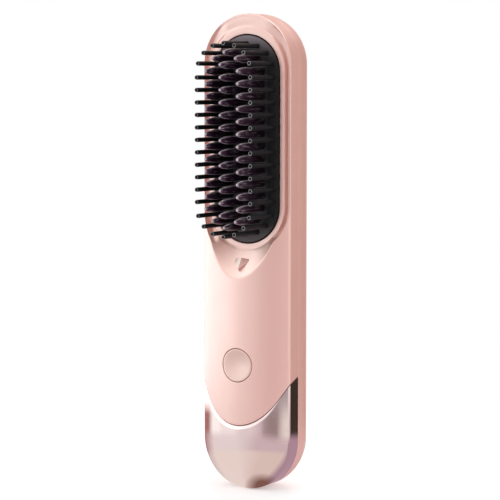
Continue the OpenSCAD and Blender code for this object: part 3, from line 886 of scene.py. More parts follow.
FINISHES: dict[Slot, Finish] = {
    Slot.SHELL: SatinCoating(
        colour(230, 170, 157), 0.4, 0.02, grain_depth=0.006, coat=0.5, coat_roughness=0.3, ior=3.0),
    Slot.BUTTON: SatinCoating(
        colour(216, 166, 152), 0.4, 0.02, grain_depth=0.006, coat=0.4, coat_roughness=0.3, ior=2.8),
    Slot.CAP: MirrorPlating(colour(231, 212, 212), 0.05, 0.03, metallic=1.0, grain_depth=0.003),
    Slot.PAD: PadGrain(colour(20, 20, 22), 0.55, 0.25, 3.0, 0.22, 0.03, ior=1.3),
    Slot.BRISTLE: PinGloss(colour(23, 24, 27), 0.5, 0.15, 4.0, ior=1.28),
    Slot.PLATE: SparkCoating(colour(26, 24, 28), 0.42, 0.2, 5.0, 0.4, 0.006, spark=colour(110, 104, 112)),
    Slot.TOOTH: RidgeHighlightPaint(colour(30, 8, 28), 0.3, 0.2, 5.0, 0.4, ior=1.3),
    Slot.TOOTH_TIP: RidgeHighlightPaint(colour(40, 20, 38), 0.25, 0.2, 2.0, ior=1.34),
    Slot.LENS: FacetedWindow(
        colour(255, 240, 228), 0.3, 0.03, 2.0, 0.2, 0.006, coat=0.5, coat_roughness=0.2, ior=1.9),
    Slot.FILM: SolderMask(colour(190, 124, 44), 0.35, 0.08, 6.0, track=colour(120, 74, 30), pitch=2.0),
    Slot.INSULATION: Fibrous(colour(222, 216, 200), 0.95, grain=0.5, grain_depth=0.2),
    Slot.STEEL: Brushed(colour(190, 190, 194), 0.3, 0.05, metallic=1.0, grain_depth=0.006),
    Slot.BOARD: SolderMask(colour(28, 92, 58), 0.36, 0.08, 6.0),
    Slot.CHIP: Finish(colour(32, 32, 34), 0.5, 0.1, 3.0, 0.15, 0.012),
    Slot.LED: ClearMoulding(colour(240, 240, 232), 0.15, 0.02, 1.0),
    Slot.CERAMIC: Finish(colour(226, 226, 220), 0.2, 0.04, 4.0, 0.4),
    Slot.CELL: Finish(colour(70, 118, 158), 0.32, 0.08, 14.0, 2.0, 0.02, coat=0.3),
    Slot.CRADLE: Finish(colour(212, 212, 206), 0.48, 0.04, 10.0, 0.25, 0.012),
    Slot.LEAD: Finish(colour(152, 34, 34), 0.5, 0.12, 3.0, 0.3, 0.008),
}


class Palette:
    """The materials of all slots."""

    def __init__(self) -> None:
        """Makes one material for each slot."""
        self.made = {slot: finish.material(slot.value) for slot, finish in FINISHES.items()}

    def __getitem__(self, slot: Slot) -> bpy.types.Material:
        """Material of a slot."""
        return self.made[slot]

    def dress_nodes(self) -> None:
        """Gives every node of the frame its slot's material."""
        for row in frame["record"]["subparts"]:
            node = frame["nodes"][row["node"]]
            for holder in node.material_slots:
                holder.material = self.made[Slot(row["material_slot"])]
            LOG.info("%s: %s", row["node"], row["material_slot"])


class Bench:
    """Shapes one mesh at a time with the modelling operators."""

    def __init__(self, name: str) -> None:
        """Adds a small plane, which start() draws in to one vertex.

        Args:
            name: Name of the piece.
        """
        bpy.ops.object.select_all(action="DESELECT")
        bpy.ops.mesh.primitive_plane_add(size=MM)
        self.object = bpy.context.object
        self.object.name = name
        self.object.data.name = name

    def start(self, point: Vector) -> None:
        """Opens the starting plane for editing and draws it in to one vertex at a point.

        Args:
            point: Place of the vertex.
        """
        bpy.ops.object.mode_set(mode="EDIT")
        bpy.ops.mesh.select_mode(type="VERT")
        self.select()
        bpy.ops.mesh.merge(type="CENTER")
        bpy.ops.transform.translate(value=point)

    @staticmethod
    def select() -> None:
        """Selects the whole mesh in work."""
        bpy.ops.mesh.select_all(action="SELECT")

    @staticmethod
    def extrude(step: Vector) -> None:
        """Extrudes what is selected by a step."""
        bpy.ops.mesh.extrude_region_move(TRANSFORM_OT_translate={"value": step})

    def fill(self) -> None:
        """Closes a drawn outline with a face, and leaves it selected."""
        self.select()
        bpy.ops.mesh.edge_face_add()

    def line(self, points: Sequence[Vector]) -> None:
        """Draws a line of edges, one extruded vertex after another.

        Args:
            points: Places of the vertices.
        """
        self.start(points[0])
        for before, after in zip(points, points[1:]):
            self.extrude(after - before)

    def spin(self, centre: Vector, axis: Vector, angle: float, steps: int) -> None:
        """Turns what is selected about an axis and leaves the swept end selected."""
        bpy.ops.mesh.spin(steps=steps, angle=angle, center=centre, axis=axis)

    def pick(self, test: Callable[[Vector], bool]) -> None:
        """Selects the vertices whose place passes a test.

        Args:
            test: Tells from a vertex's place whether it is selected.
        """
        mesh = bmesh.from_edit_mesh(self.object.data)
        for vertex in mesh.verts:
            vertex.select = test(vertex.co)
        mesh.select_flush_mode()
        mesh.select_flush(True)
        bmesh.update_edit_mesh(self.object.data)

    def stadium(self, profile: Sequence[Flat], high: float, low: float, steps: int,
                closed: bool = False) -> None:
        """Carries a half cross-section round an outline with two straight sides and two half turns.

        Args:
            profile: (x, height) points with x from 0 outwards.
            high: z of the upper half turn's centre.
            low: z of the lower half turn's centre.
            steps: Faces round each half turn.
            closed: Whether the profile is a ring.
        """
        self.line([CASING.place(x, height, high) for x, height in profile])
        if closed:
            ends = [CASING.place(*profile[k], high) for k in (0, -1)]
            self.pick(lambda place: min((place - end).length for end in ends) < MERGE)
            bpy.ops.mesh.edge_face_add()
        self.select()
        hub_high, hub_low = CASING.place(0, 0, high), CASING.place(0, 0, low)
        turn = Vector((0, 1, 0))
        self.spin(hub_high, turn, math.pi, steps)
        self.pick(lambda place: abs(place.z - hub_high.z) < NEAR)
        self.extrude(hub_low - hub_high)
        self.pick(lambda place: abs(place.z - hub_low.z) < NEAR and place.x > -NEAR)
        self.spin(hub_low, turn, -math.pi, steps)
        self.close()

    def turned(self, profile: Sequence[Flat], z: float, steps: int) -> None:
        """Turns a profile of (radius, height) points about an axis across the pad at z.

        Args:
            profile: The points.
            z: z of the axis.
            steps: Faces round the axis.
        """
        self.line([CASING.place(r, height, z) for r, height in profile])
        self.select()
        self.spin(CASING.place(0, 0, z), Vector((0, 1, 0)), 2 * math.pi, steps)
        self.close()

    def close(self) -> None:
        """Merges doubles, turns the faces outwards and ends the work on the mesh."""
        self.select()
        bpy.ops.mesh.remove_doubles(threshold=MERGE)
        bpy.ops.mesh.normals_make_consistent(inside=False)
        bpy.ops.object.mode_set(mode="OBJECT")

    def move(self, shift: Callable[[Vector], Vector]) -> None:
        """Moves every vertex to where a rule puts it."""
        for vertex in self.object.data.vertices:
            vertex.co = shift(vertex.co)

    def modifier(self, kind: str, **settings: object) -> None:
        """Adds a modifier with its settings and applies it.

        Args:
            kind: The modifier's type.
            settings: Its settings.
        """
        added = self.object.modifiers.new(kind.title(), kind)
        for key, value in settings.items():
            setattr(added, key, value)
        bpy.ops.object.modifier_apply(modifier=added.name)

    @staticmethod
    def smooth(degrees: float) -> None:
        """Shades the mesh smooth, with edges sharper than an angle kept crisp."""
        bpy.ops.object.shade_smooth_by_angle(angle=math.radians(degrees))


def seat(
    piece: bpy.types.Object, body: str, slot: Slot, palette: Palette, node: str, mirrored: bool = True
) -> None:
    """Dresses a finished piece, puts it on its body and lets it stand for its node.

    Args:
        piece: The finished object, with its place in its mesh.
        body: Name of the body that it rides on.
        slot: Its material slot.
        palette: The materials.
        node: Name of the node that it stands for.
        mirrored: Whether the gloss of other pieces shows it.
    """
    piece.visible_glossy = mirrored
    piece.data.materials.clear()
    piece.data.materials.append(palette[slot])
    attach(piece, body)
    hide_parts(node)
    LOG.info("%s: %d faces on %s", piece.name, len(piece.data.polygons), body)


class Skin:
    """A wall sewn from patches of paired outer and inner points."""

    def __init__(self) -> None:
        """Starts with no points."""
        self.outer: list[Vector] = []
        self.inner: list[Vector] = []
        self.faces: list[tuple[int, ...]] = []
        self.known: dict[tuple[float, ...], int] = {}

    def pair(self, outer: Point, inner: Point) -> int:
        """Index of a pair of points, which is new if the outer point is.

        Args:
            outer: Point of the outer face.
            inner: The point behind it.

        Returns:
            The pair's index.
        """
        spot = CASING.place(*outer)
        key = tuple(round(value / MM, 4) for value in spot)
        if key not in self.known:
            self.known[key] = len(self.outer)
            self.outer.append(spot)
            self.inner.append(CASING.place(*inner))
        return self.known[key]

    def facing(self, face: Sequence[int]) -> float:
        """How far a face's normal agrees with the way from the inner to the outer points."""
        a, b, c = (self.outer[i] for i in face[:3])
        return (b - a).cross(c - a).dot(self.outer[face[0]] - self.inner[face[0]])

    def sew(self, rows: Sequence[Sequence[Pair]], closed: bool = False) -> None:
        """Adds the quads between rows of point pairs.

        Args:
            rows: Rows of (outer, inner) pairs, all of one length.
            closed: Whether the last row is also sewn to the first.
        """
        grid = [[self.pair(*pair) for pair in row] for row in rows]
        if closed:
            grid.append(grid[0])
        added = []
        for near, far in zip(grid, grid[1:]):
            for k in range(len(near) - 1):
                face = tuple(dict.fromkeys((near[k], near[k + 1], far[k + 1], far[k])))
                if len(face) > 2:
                    added.append(face)
        if sum(self.facing(face) for face in added) < 0:
            added = [face[::-1] for face in added]
        self.faces += added

    def build(self, name: str) -> bpy.types.Object:
        """Makes the closed wall: both skins and the rim that joins them along every open edge.

        Args:
            name: Name of the piece.

        Returns:
            The wall.
        """
        count = len(self.outer)
        edges = dict.fromkeys(edge for face in self.faces for edge in zip(face, face[1:] + face[:1]))
        rim = [(b, a, a + count, b + count) for a, b in edges if (b, a) not in edges]
        back = [tuple(i + count for i in face[::-1]) for face in self.faces]
        mesh = bpy.data.meshes.new(name)
        mesh.from_pydata(self.outer + self.inner, [], self.faces + back + rim)
        piece = linked(name, mesh)
        select_only(piece)
        bpy.ops.object.mode_set(mode="EDIT")
        bpy.ops.mesh.select_all(action="SELECT")
        bpy.ops.mesh.dissolve_degenerate(threshold=MERGE / 2)
        bpy.ops.object.mode_set(mode="OBJECT")
        bpy.ops.object.shade_smooth_by_angle(angle=math.radians(38))
        return piece


@dataclass(frozen=True)
class Loop:
    """One line across the head, from the pad's opening out to the casing's edge."""

    centre: Flat
    hub: Flat
    way: Flat
    edge: Flat
    groove: float
    in_head: bool

    def mirrored(self) -> "Loop":
        """The same loop on the left side."""
        return replace(self, way=(-self.way[0], self.way[1]), edge=(-self.edge[0], self.edge[1]))

    def pad_point(self, r: float) -> Flat:
        """Point at r from the pad's centre line, as (x, z)."""
        return self.centre[0] + r * self.way[0], self.centre[1] + r * self.way[1]

    def rim_point(self, r: float) -> Flat:
        """Point at r from the centre line of the casing's outline, as (x, z)."""
        return self.hub[0] + r * self.way[0], self.hub[1] + r * self.way[1]


@dataclass
class FrontCasing:
    """Handle and head in one moulding, with its collar, groove, basin, button hole and tongue."""

    opening_r: float = 15.85
    collar_crest: float = 17.2
    collar_edge: float = 17.8
    basin_blend: float = 0.6
    valley: float = 0.04
    valley_r: float = 19.0
    valley_width: float = 1.1
    groove_edge: float = 20.65
    groove_lip: float = 0.3
    rim_r: float = 20.97
    rim_roll: float = 0.3
    groove_depth: float = 2.2
    groove_top_share: float = 0.3
    tray_depth: float = 3.4
    tray_low: float = 101.4
    wall: float = 1.8
    inner_r: float = 16.05
    inner_share: float = 0.6
    inner_edge: float = 0.925
    ring_width: float = 5.0
    crease: float = 0.3
    flare_low: float = 104.0
    ring_low: float = 84.0
    rows_end: float = 62.0
    hole_r: float = 7.15
    edge_roll: float = 0.4
    ring_steps: int = 46
    rim_steps: int = 40
    rim_crowding: float = 1.25
    columns: int = 60
    upper_rows: int = 22
    lower_rows: int = 50
    block: int = 13

    def surface(self, x: float, z: float) -> float:
        """Height of the handle's crown and of the basin below the pad."""
        floor = soft_max(CASING.basin(x, z), 0.0, self.basin_blend)
        return soft_min(CASING.front(x), floor, self.crease)

    def inside(self, x: float, z: float) -> float:
        """Height of the inner face of the wall.

        Args:
            x: Distance across from the middle.
            z: Height up the brush.

        Returns:
            Height above the pad's plane.
        """
        if z > self.tray_low:
            return -self.tray_depth
        r = CASING.crown_r - self.wall
        crown = math.sqrt(r * r - x * x) - CASING.crown_r + CASING.crown_height
        basin = CASING.basin(x, z) - self.wall / math.cos(CASING.basin_slope)
        return min(crown, max(basin, -self.tray_depth))

    def edge_x(self, z: float) -> float:
        """How far out the ring of loops reaches at a height of the brush."""
        start = CASING.shoulder[0] + CASING.shoulder_r * math.sin(CASING.shoulder_start)
        return mix(start, self.rim_r, ease(self.flare_low, CASING.pad_low, z))

    def loops(self) -> list[Loop]:
        """Lines across the head, anticlockwise from the lower right corner of the ring.

        Returns:
            The loops of the whole ring.
        """
        high, low, top = CASING.pad_high, CASING.pad_low, CASING.high
        span, side, arc, bottom = 44, 36, 96, self.columns
        found = []
        for k in range(span):
            z = mix(self.ring_low, low, k / span)
            found.append(self.lower_loop(self.edge_x(z), z))
        for k in range(side):
            found.append(self.side_loop(mix(low, high, k / side), mix(low, top, k / side)))
        for k in range(arc):
            angle = math.pi * k / arc
            way = math.cos(angle), math.sin(angle)
            groove = mix(self.groove_top_share, 1.0, ease(0.45, 0.96, abs(way[0])))
            edge = self.rim_r * way[0], top + self.rim_r * way[1]
            found.append(Loop((0, high), (0, top), way, edge, groove, True))
        right = [self.side_loop(high, top), *found[1:span + side][::-1], found[0]]
        found += [loop.mirrored() for loop in right]
        for k in range(1, bottom):
            found.append(self.lower_loop(mix(-self.edge_x(0), self.edge_x(0), k / bottom), self.ring_low))
        return found

    def side_loop(self, z: float, edge_z: float) -> Loop:
        """Loop across the straight right side, from z at the pad to edge_z at the rim."""
        return Loop((0, z), (0, edge_z), (1, 0), (self.rim_r, edge_z), 1.0, True)

    def lower_loop(self, x: float, z: float) -> Loop:
        """Loop from the pad's lower round end to a point of the ring's edge.

        Args:
            x: Distance across from the middle.
            z: Height up the brush.

        Returns:
            The loop.
        """
        centre = (0.0, CASING.pad_low)
        reach = math.dist((x, z), centre)
        way = (x / reach, (z - centre[1]) / reach)
        turn = math.degrees(math.atan2(-way[1], abs(way[0])))
        return Loop(centre, centre, way, (x, z), 1 - ease(25, 52, turn), False)

    def across(self, loop: Loop) -> list[Pair]:
        """Point pairs along one loop, from the pad's opening to the ring's edge.

        Args:
            loop: The loop.

        Returns:
            The pairs.
        """
        profile = rounded([
            (self.opening_r, -2.6, 0),
            (self.opening_r, -0.12, 0.25),
            (16.9, 0.02, 0.5),
            (18.1, 0.0, 0.3),
            (18.62, -self.groove_depth, 0.45),
            (20.2, -self.groove_depth, 0.4),
            (self.groove_edge, -self.groove_lip, 0),
        ])
        reach = math.dist(loop.edge, loop.hub)
        pairs = []
        for r, full in spaced(profile, self.ring_steps):
            share = max(0.0, (r - self.collar_edge) / (self.groove_edge - self.collar_edge))
            x, z = (mix(a, b, share) for a, b in zip(loop.pad_point(r), loop.rim_point(r)))
            height = full
            if r > self.collar_crest:
                height = mix(self.plain(loop, r, x, z, share), full, loop.groove)
            pairs.append(self.with_inner(loop, r, x, height, z, share=0.0))
        for k in range(1, self.rim_steps + 1):
            share = (k / self.rim_steps) ** self.rim_crowding
            x, z = (mix(a, b, share) for a, b in zip(loop.rim_point(self.groove_edge), loop.edge))
            beyond = (reach - self.groove_edge) * share
            roll = 1 - min(1.0, beyond / self.rim_roll)
            lift = math.sqrt(1 - roll * roll)
            crown = CASING.front(math.dist((x, z), loop.hub)) if loop.in_head else self.surface(x, z)
            full = mix(-self.groove_lip, crown, lift)
            height = mix(self.plain(loop, self.groove_edge, x, z, 1.0), full, loop.groove)
            pairs.append(self.with_inner(loop, self.groove_edge, x, height, z, share))
        return pairs

    def plain(self, loop: Loop, r: float, x: float, z: float, share: float) -> float:
        """Height where the groove has faded out.

        Args:
            loop: The loop.
            r: Distance from the pad's centre line.
            x: Distance across from the middle.
            z: Height up the brush.
            share: Share of the way from the collar to the groove's outer edge.

        Returns:
            Height above the pad's plane.
        """
        if loop.in_head:
            rim = CASING.front(math.dist((x, z), loop.hub))
            return mix(0.0, rim, share * share)
        away = (math.dist((x, z), loop.centre) - self.valley_r) / self.valley_width
        floor = self.surface(x, z) - self.valley * math.exp(-away * away)
        return mix(0.0, floor, ease(self.collar_crest, self.valley_r, r))

    def with_inner(self, loop: Loop, r: float, x: float, height: float, z: float, share: float) -> Pair:
        """Pairs a point of the ring with the one behind it.

        Args:
            loop: The loop.
            r: Distance from the pad's centre line.
            x: Distance across from the middle.
            height: Height above the pad's plane.
            z: Height up the brush.
            share: Share of the way from the groove's outer edge to the ring's edge.

        Returns:
            The pair.
        """
        inner_r = self.inner_r + (min(r, self.rim_r) - self.opening_r) * self.inner_share
        if loop.in_head:
            step = (r - self.opening_r) / self.ring_width
            ring = [mix(a, b, step) + inner_r * way for a, b, way in zip(loop.centre, loop.hub, loop.way)]
        else:
            ring = loop.pad_point(inner_r)
        edge_share = self.inner_edge if loop.in_head else 1
        edge = loop.edge[0] * self.inner_edge, mix(loop.hub[1], loop.edge[1], edge_share)
        inner_x, inner_z = (mix(a, b, share) for a, b in zip(ring, edge))
        return (x, height, z), (inner_x, self.inside(inner_x, inner_z), inner_z)

    def sides(self, skin: Skin, loops: Sequence[Loop]) -> None:
        """Sews the shoulder and side wall round the head.

        Args:
            skin: The wall that is being sewn.
            loops: The ring's loops, without those along its lower edge.
        """
        rows = []
        for loop in loops:
            start = math.asin((self.edge_x(loop.edge[1]) - CASING.shoulder[0]) / CASING.shoulder_r)
            row = []
            for rib in CASING.side_ribs(start):
                in_x, in_height = rib.inset(self.wall)
                if loop.edge[1] > self.tray_low:
                    in_height = min(in_height, -self.tray_depth)
                if loop.in_head:
                    (ox, oz), (ix, iz) = loop.rim_point(rib.x), loop.rim_point(in_x)
                else:
                    ox, ix = math.copysign(rib.x, loop.edge[0]), math.copysign(in_x, loop.edge[0])
                    oz = iz = loop.edge[1]
                row.append(((ox, rib.height, oz), (ix, in_height, iz)))
            rows.append(row)
        skin.sew(rows)

    def handle_ribs(self) -> list[Rib]:
        """Ribs of the whole front, from the left parting line to the right one.

        Returns:
            The ribs.
        """
        sides = CASING.side_ribs(CASING.shoulder_start)
        left = [Rib(-rib.x, rib.height, -rib.out_x, rib.out_height) for rib in sides[::-1]]
        reach = self.edge_x(0)
        crown = [CASING.crown_rib(mix(-reach, reach, k / self.columns)) for k in range(1, self.columns)]
        return [*left, *crown, *sides]

    def handle_rows(self, rib: Rib) -> list[Pair]:
        """Point pairs down one rib of the handle, and over the tongue's edge.

        Args:
            rib: The rib.

        Returns:
            The pairs, from the top down.
        """
        edge = CASING.tongue_edge(rib.x, rib.height)
        upper, lower = self.upper_rows, self.lower_rows
        marks = [(mix(self.ring_low, self.rows_end, k / upper), 0.0) for k in range(upper)]
        marks += [(mix(self.rows_end, edge + self.edge_roll, k / lower), 0.0) for k in range(lower + 1)]
        rolled = ((0.2, 0.02), (0.08, 0.08), (0.02, 0.2), (0.0, 0.4), (-0.1, 1.5))
        marks += [(edge + rise, inset) for rise, inset in rolled]
        return [rib.pair(z, inset, self.wall) for z, inset in marks]

    def handle(self, skin: Skin) -> None:
        """Sews the handle, with a round hole for the button in its crown.

        Args:
            skin: The wall that is being sewn.
        """
        ribs = self.handle_ribs()
        columns = [self.handle_rows(rib) for rib in ribs]
        middle = len(ribs) // 2
        left, right = middle - self.block, middle + self.block
        top, low = self.upper_rows, self.upper_rows + 2 * self.block
        skin.sew(columns[:left + 1])
        skin.sew(columns[right:])
        skin.sew([column[:top + 1] for column in columns[left:right + 1]])
        skin.sew([column[low:] for column in columns[left:right + 1]])
        frame_points = [columns[k][top] for k in range(left, right)]
        frame_points += [columns[right][k] for k in range(top, low)]
        frame_points += [columns[k][low] for k in range(right, left, -1)]
        frame_points += [columns[left][k] for k in range(low, top, -1)]
        skin.sew([self.hole_row(pair) for pair in frame_points], closed=True)

    def hole_row(self, pair: Pair) -> list[Pair]:
        """Point pairs from inside the button's hole out to a point of the handle round it.

        Args:
            pair: The point of the handle and the one behind it.

        Returns:
            The pairs.
        """
        (x, _, z), _ = pair
        turn = math.atan2(z - CASING.button_z, x)
        row = []
        for r, drop in ((0.0, 1.5), (0.0, 0.3), (0.03, 0.13), (0.09, 0.04), (0.2, 0.0), (0.45, 0.0)):
            px = (self.hole_r + r) * math.cos(turn)
            pz = CASING.button_z + (self.hole_r + r) * math.sin(turn)
            height = CASING.front(px)
            row.append(((px, height - drop, pz), (px, height - self.wall, pz)))
        (ax, _, az), _ = row[-1]
        for share in (0.3, 0.62):
            px, pz = mix(ax, x, share), mix(az, z, share)
            height = CASING.front(px)
            row.append(((px, height, pz), (px, height - self.wall, pz)))
        return [*row, pair]

    def build(self, palette: Palette) -> bpy.types.Object:
        """Builds and seats the front casing.

        Args:
            palette: The materials.

        Returns:
            The casing.
        """
        skin = Skin()
        loops = self.loops()
        skin.sew([self.across(loop) for loop in loops], closed=True)
        self.sides(skin, loops[:len(loops) - self.columns + 1])
        self.handle(skin)
        piece = skin.build("front_casing")
        seat(piece, "root", Slot.SHELL, palette, "front_shell")
        return piece


@dataclass
class MirrorCap:
    """Plated cap round the charging end, with a bright bevel along the tongue."""

    gap: float = 0.3
    bevel: float = 1.25
    bevel_drop: float = 0.27
    bevel_fade: Flat = (12.0, 20.0)
    bevel_least: float = 0.04
    wall: float = 1.6
    columns: int = 60
    rows: int = 26
    end_steps: int = 40

    def bevel_width(self, x: float) -> float:
        """Width of the bevel, which runs out towards the cap's two points."""
        return max(self.bevel_least, self.bevel * (1 - ease(*self.bevel_fade, abs(x))))

    def column(self, rib: Rib) -> list[Pair]:
        """Point pairs down one rib from the gap to the round end.

        Args:
            rib: The rib.

        Returns:
            The pairs.
        """
        top = CASING.tongue_edge(rib.x, rib.height) - self.gap
        width = self.bevel_width(rib.x)
        drop = self.bevel_drop * width / self.bevel
        bottom = top - width - 0.05
        marks = [(top, 1.4), (top, drop + 0.1), (top - 0.08 * width, drop), (top - 0.5 * width, drop / 2)]
        marks += [(top - 0.96 * width, 0.05 * drop), (bottom, 0.0)]
        marks += [(mix(bottom, CASING.low, k / self.rows), 0.0) for k in range(1, self.rows + 1)]
        return [rib.pair(z, inset, self.wall) for z, inset in marks]

    def end(self, skin: Skin, ribs: Sequence[Rib], side: int) -> None:
        """Sews one half of the round end, which is the section turned about its middle.

        Args:
            skin: The wall that is being sewn.
            ribs: Ribs of the right half of the section.
            side: 1 for the right half of the end, -1 for the left one.
        """
        rows = []
        for k in range(self.end_steps + 1):
            angle = math.pi / 2 * k / self.end_steps
            across, down = side * math.cos(angle), math.sin(angle)
            rows.append([
                tuple((x * across, height, CASING.low - x * down)
                      for x, height in (rib.inset(0), rib.inset(self.wall)))
                for rib in ribs])
        skin.sew(rows)

    def build(self, palette: Palette) -> None:
        """Builds and seats the cap.

        Args:
            palette: The materials.
        """
        front = FrontCasing(columns=self.columns)
        ribs = front.handle_ribs()
        skin = Skin()
        skin.sew([self.column(rib) for rib in ribs])
        half = ribs[len(ribs) // 2:]
        for side in (-1, 1):
            self.end(skin, half, side)
        piece = skin.build("mirror_cap")
        seat(piece, "root", Slot.CAP, palette, "end_cap")


@dataclass
class RearCasing:
    """Back of the brush: side walls, long round corners and a flat back, closed at both ends."""

    wall: float = 1.8
    seam_gap: float = 0.02
    port_y: float = 12.5
    port_half: Flat = (4.82, 1.98)
    corner_steps: int = 24
    end_steps: int = 72

    def side(self, inset: float) -> list[Flat]:
        """Half of the back as (x, height), drawn inset inside the outer face, from the middle outwards.

        Args:
            inset: Distance inside the outer face.

        Returns:
            The points.
        """
        corner_x = CASING.half_width - CASING.back_r
        corner_depth = CASING.back_depth - CASING.back_r
        r = CASING.back_r - inset
        points = [(0.0, inset - CASING.back_depth), (corner_x / 2, inset - CASING.back_depth)]
        for k in range(self.corner_steps + 1):
            angle = math.pi / 2 * k / self.corner_steps
            points.append((corner_x + r * math.sin(angle), -corner_depth - r * math.cos(angle)))
        return points

    def profile(self) -> list[Flat]:
        """The wall's half section: out along the outer face, over its edge, and back along the inner face.

        Returns:
            The points, as (x, height).
        """
        start = -CASING.parting - self.seam_gap
        edge = [(CASING.half_width - inset, start - rise)
                for inset, rise in ((0.0, 0.3), (0.01, 0.12), (0.03, 0.03), (0.07, 0.0))]
        return [*self.side(0.0), *edge, (CASING.half_width - self.wall, start), *self.side(self.wall)[::-1]]

    def build(self, palette: Palette) -> None:
        """Builds and seats the rear casing.

        Args:
            palette: The materials.
        """
        bench = Bench("rear_casing")
        bench.stadium(self.profile(), CASING.high, CASING.low, self.end_steps)
        bench.smooth(35)
        self.cut_port(bench.object)
        seat(bench.object, "root", Slot.SHELL, palette, "rear_shell")

    def cut_port(self, casing: bpy.types.Object) -> None:
        """Cuts the rounded slot for the charging plug.

        Args:
            casing: The rear casing.
        """
        half_x, half_y = self.port_half
        up = Vector((0, 0, 1))
        bench = Bench("port_cutter")
        bench.start(CASING.place(half_x - half_y, -self.port_y - half_y, -1.0))
        centre = CASING.place(half_x - half_y, -self.port_y, -1.0)
        bench.spin(centre, up, -math.pi, 16)
        run = Vector((-2 * (half_x - half_y) * MM, 0, 0))
        bench.extrude(run)
        bench.spin(centre + run, up, -math.pi, 16)
        bench.select()
        bpy.ops.mesh.remove_doubles(threshold=MERGE)
        bench.fill()
        bench.extrude(up * 6 * MM)
        bench.close()
        cut(casing, bench.object, "Port")


@dataclass(frozen=True)
class Field:
    """Where the bristles and teeth stand on the pad."""

    rows: int = 11
    pitch: float = 5.14
    pin_x: float = 12.9
    pin_arc: float = 11.8
    pin_step: float = math.radians(24.2)
    pins_per_arc: int = 7
    flank_x: float = 7.6
    corner_x: float = 5.4
    corner_rise: float = 5.51
    end_rise: float = 8.08
    tall: float = 22.2
    flank_drop: float = 1.1
    end_drop: float = 3.2

    @property
    def middle(self) -> float:
        """z of the pad's middle."""
        return (CASING.pad_high + CASING.pad_low) / 2

    def pins(self) -> list[Flat]:
        """(x, z) of every cool bristle.

        Returns:
            The places.
        """
        half = self.rows // 2
        places = [(side * self.pin_x, self.middle + k * self.pitch)
                  for k in range(-half, half + 1) for side in (-1, 1)]
        reach = self.pins_per_arc // 2
        for end, centre in ((1, CASING.pad_high), (-1, CASING.pad_low)):
            for k in range(-reach, reach + 1):
                turn = k * self.pin_step
                places.append((self.pin_x * math.sin(turn), centre + end * self.pin_arc * math.cos(turn)))
        return places

    def teeth(self) -> dict[float, list[Flat]]:
        """(x, z) of every heated tooth, by height.

        Returns:
            The places of the teeth of each height.
        """
        half = self.rows // 2
        ends = ((1, CASING.pad_high), (-1, CASING.pad_low))
        return {
            self.tall: [(0.0, self.middle + k * self.pitch) for k in range(-half - 1, half + 2)],
            self.tall - self.flank_drop: [
                (side * self.flank_x, self.middle + (k + 0.5) * self.pitch)
                for k in range(-half - 1, half + 1) for side in (-1, 1)],
            self.tall - self.end_drop: [
                *[(0.0, centre + end * self.end_rise) for end, centre in ends],
                *[(side * self.corner_x, centre + end * self.corner_rise)
                  for end, centre in ends for side in (-1, 1)]],
        }


FIELD = Field()


def spread(pattern: bpy.types.Object, places: Iterable[Flat]) -> list[bpy.types.Object]:
    """Copies a piece that was made at x = 0 in the middle of the pad to each place.

    Args:
        pattern: The piece to copy, which is removed.
        places: (x, z) of each copy.

    Returns:
        The copies, each with its own mesh.
    """
    copies = []
    for x, z in places:
        copy = linked(pattern.name, pattern.data.copy())
        shift = Vector((x, 0, z - FIELD.middle)) * MM
        for vertex in copy.data.vertices:
            vertex.co += shift
        copies.append(copy)
    bpy.data.objects.remove(pattern)
    return copies


def joined(copies: Sequence[bpy.types.Object], name: str) -> bpy.types.Object:
    """Joins copies into one piece of separate solids.

    Args:
        copies: The copies.
        name: Name of the piece.

    Returns:
        The piece.
    """
    select_only(*copies)
    bpy.ops.object.join()
    copies[0].name = name
    copies[0].data.name = name
    return copies[0]


@dataclass
class BristlePad:
    """Black frame that carries the cool bristles round the heating plate."""

    outer_r: float = 15.6
    inner_r: float = 10.2
    ledge_r: float = 11.3
    ledge: float = 1.1
    flange_r: float = 17.5
    flange: float = 3.4
    back: float = 4.8
    roll: float = 0.8

    def build(self, palette: Palette) -> None:
        """Builds and seats the pad.

        Args:
            palette: The materials.
        """
        outline = rounded([
            (self.ledge_r, -self.back, 0),
            (self.ledge_r, -self.ledge, 0),
            (self.inner_r, -self.ledge, 0),
            (self.inner_r, 0, 0.15),
            (self.outer_r, 0, self.roll),
            (self.outer_r, -self.flange, 0),
            (self.flange_r, -self.flange, 0),
            (self.flange_r, -self.back, 0),
        ])
        bench = Bench("bristle_pad")
        bench.stadium(outline, CASING.pad_high, CASING.pad_low, 64, closed=True)
        bench.smooth(40)
        seat(bench.object, "root", Slot.PAD, palette, "bristle_frame")


@dataclass
class CoolBristles:
    """Round pins with a hollow in their blunt tips."""

    radius: float = 0.95
    height: float = 19.0
    socket: float = 3.4
    steps: int = 20

    def build(self, palette: Palette) -> None:
        """Builds and seats all the pins.

        Args:
            palette: The materials.
        """
        foot = ((0.0, -self.socket), (1.0, -self.socket), (1.0, -0.1), (1.14, 0.0), (1.05, 0.12), (1.0, 0.4))
        tip = ((0.99, 6.0), (0.98, 0.4), (0.95, 0.15), (0.87, 0.03), (0.78, 0.0), (0.69, 0.04), (0.62, 0.2),
               (0.52, 0.5), (0.3, 0.66), (0.0, 0.7))
        profile = [(self.radius * share, height) for share, height in foot]
        profile += [(self.radius * share, self.height - drop) for share, drop in tip]
        bench = Bench("cool_bristle")
        bench.turned(profile, FIELD.middle, self.steps)
        bench.smooth(45)
        piece = joined(spread(bench.object, FIELD.pins()), "cool_bristle_pins")
        seat(piece, "root", Slot.BRISTLE, palette, "cool_bristles", mirrored=False)


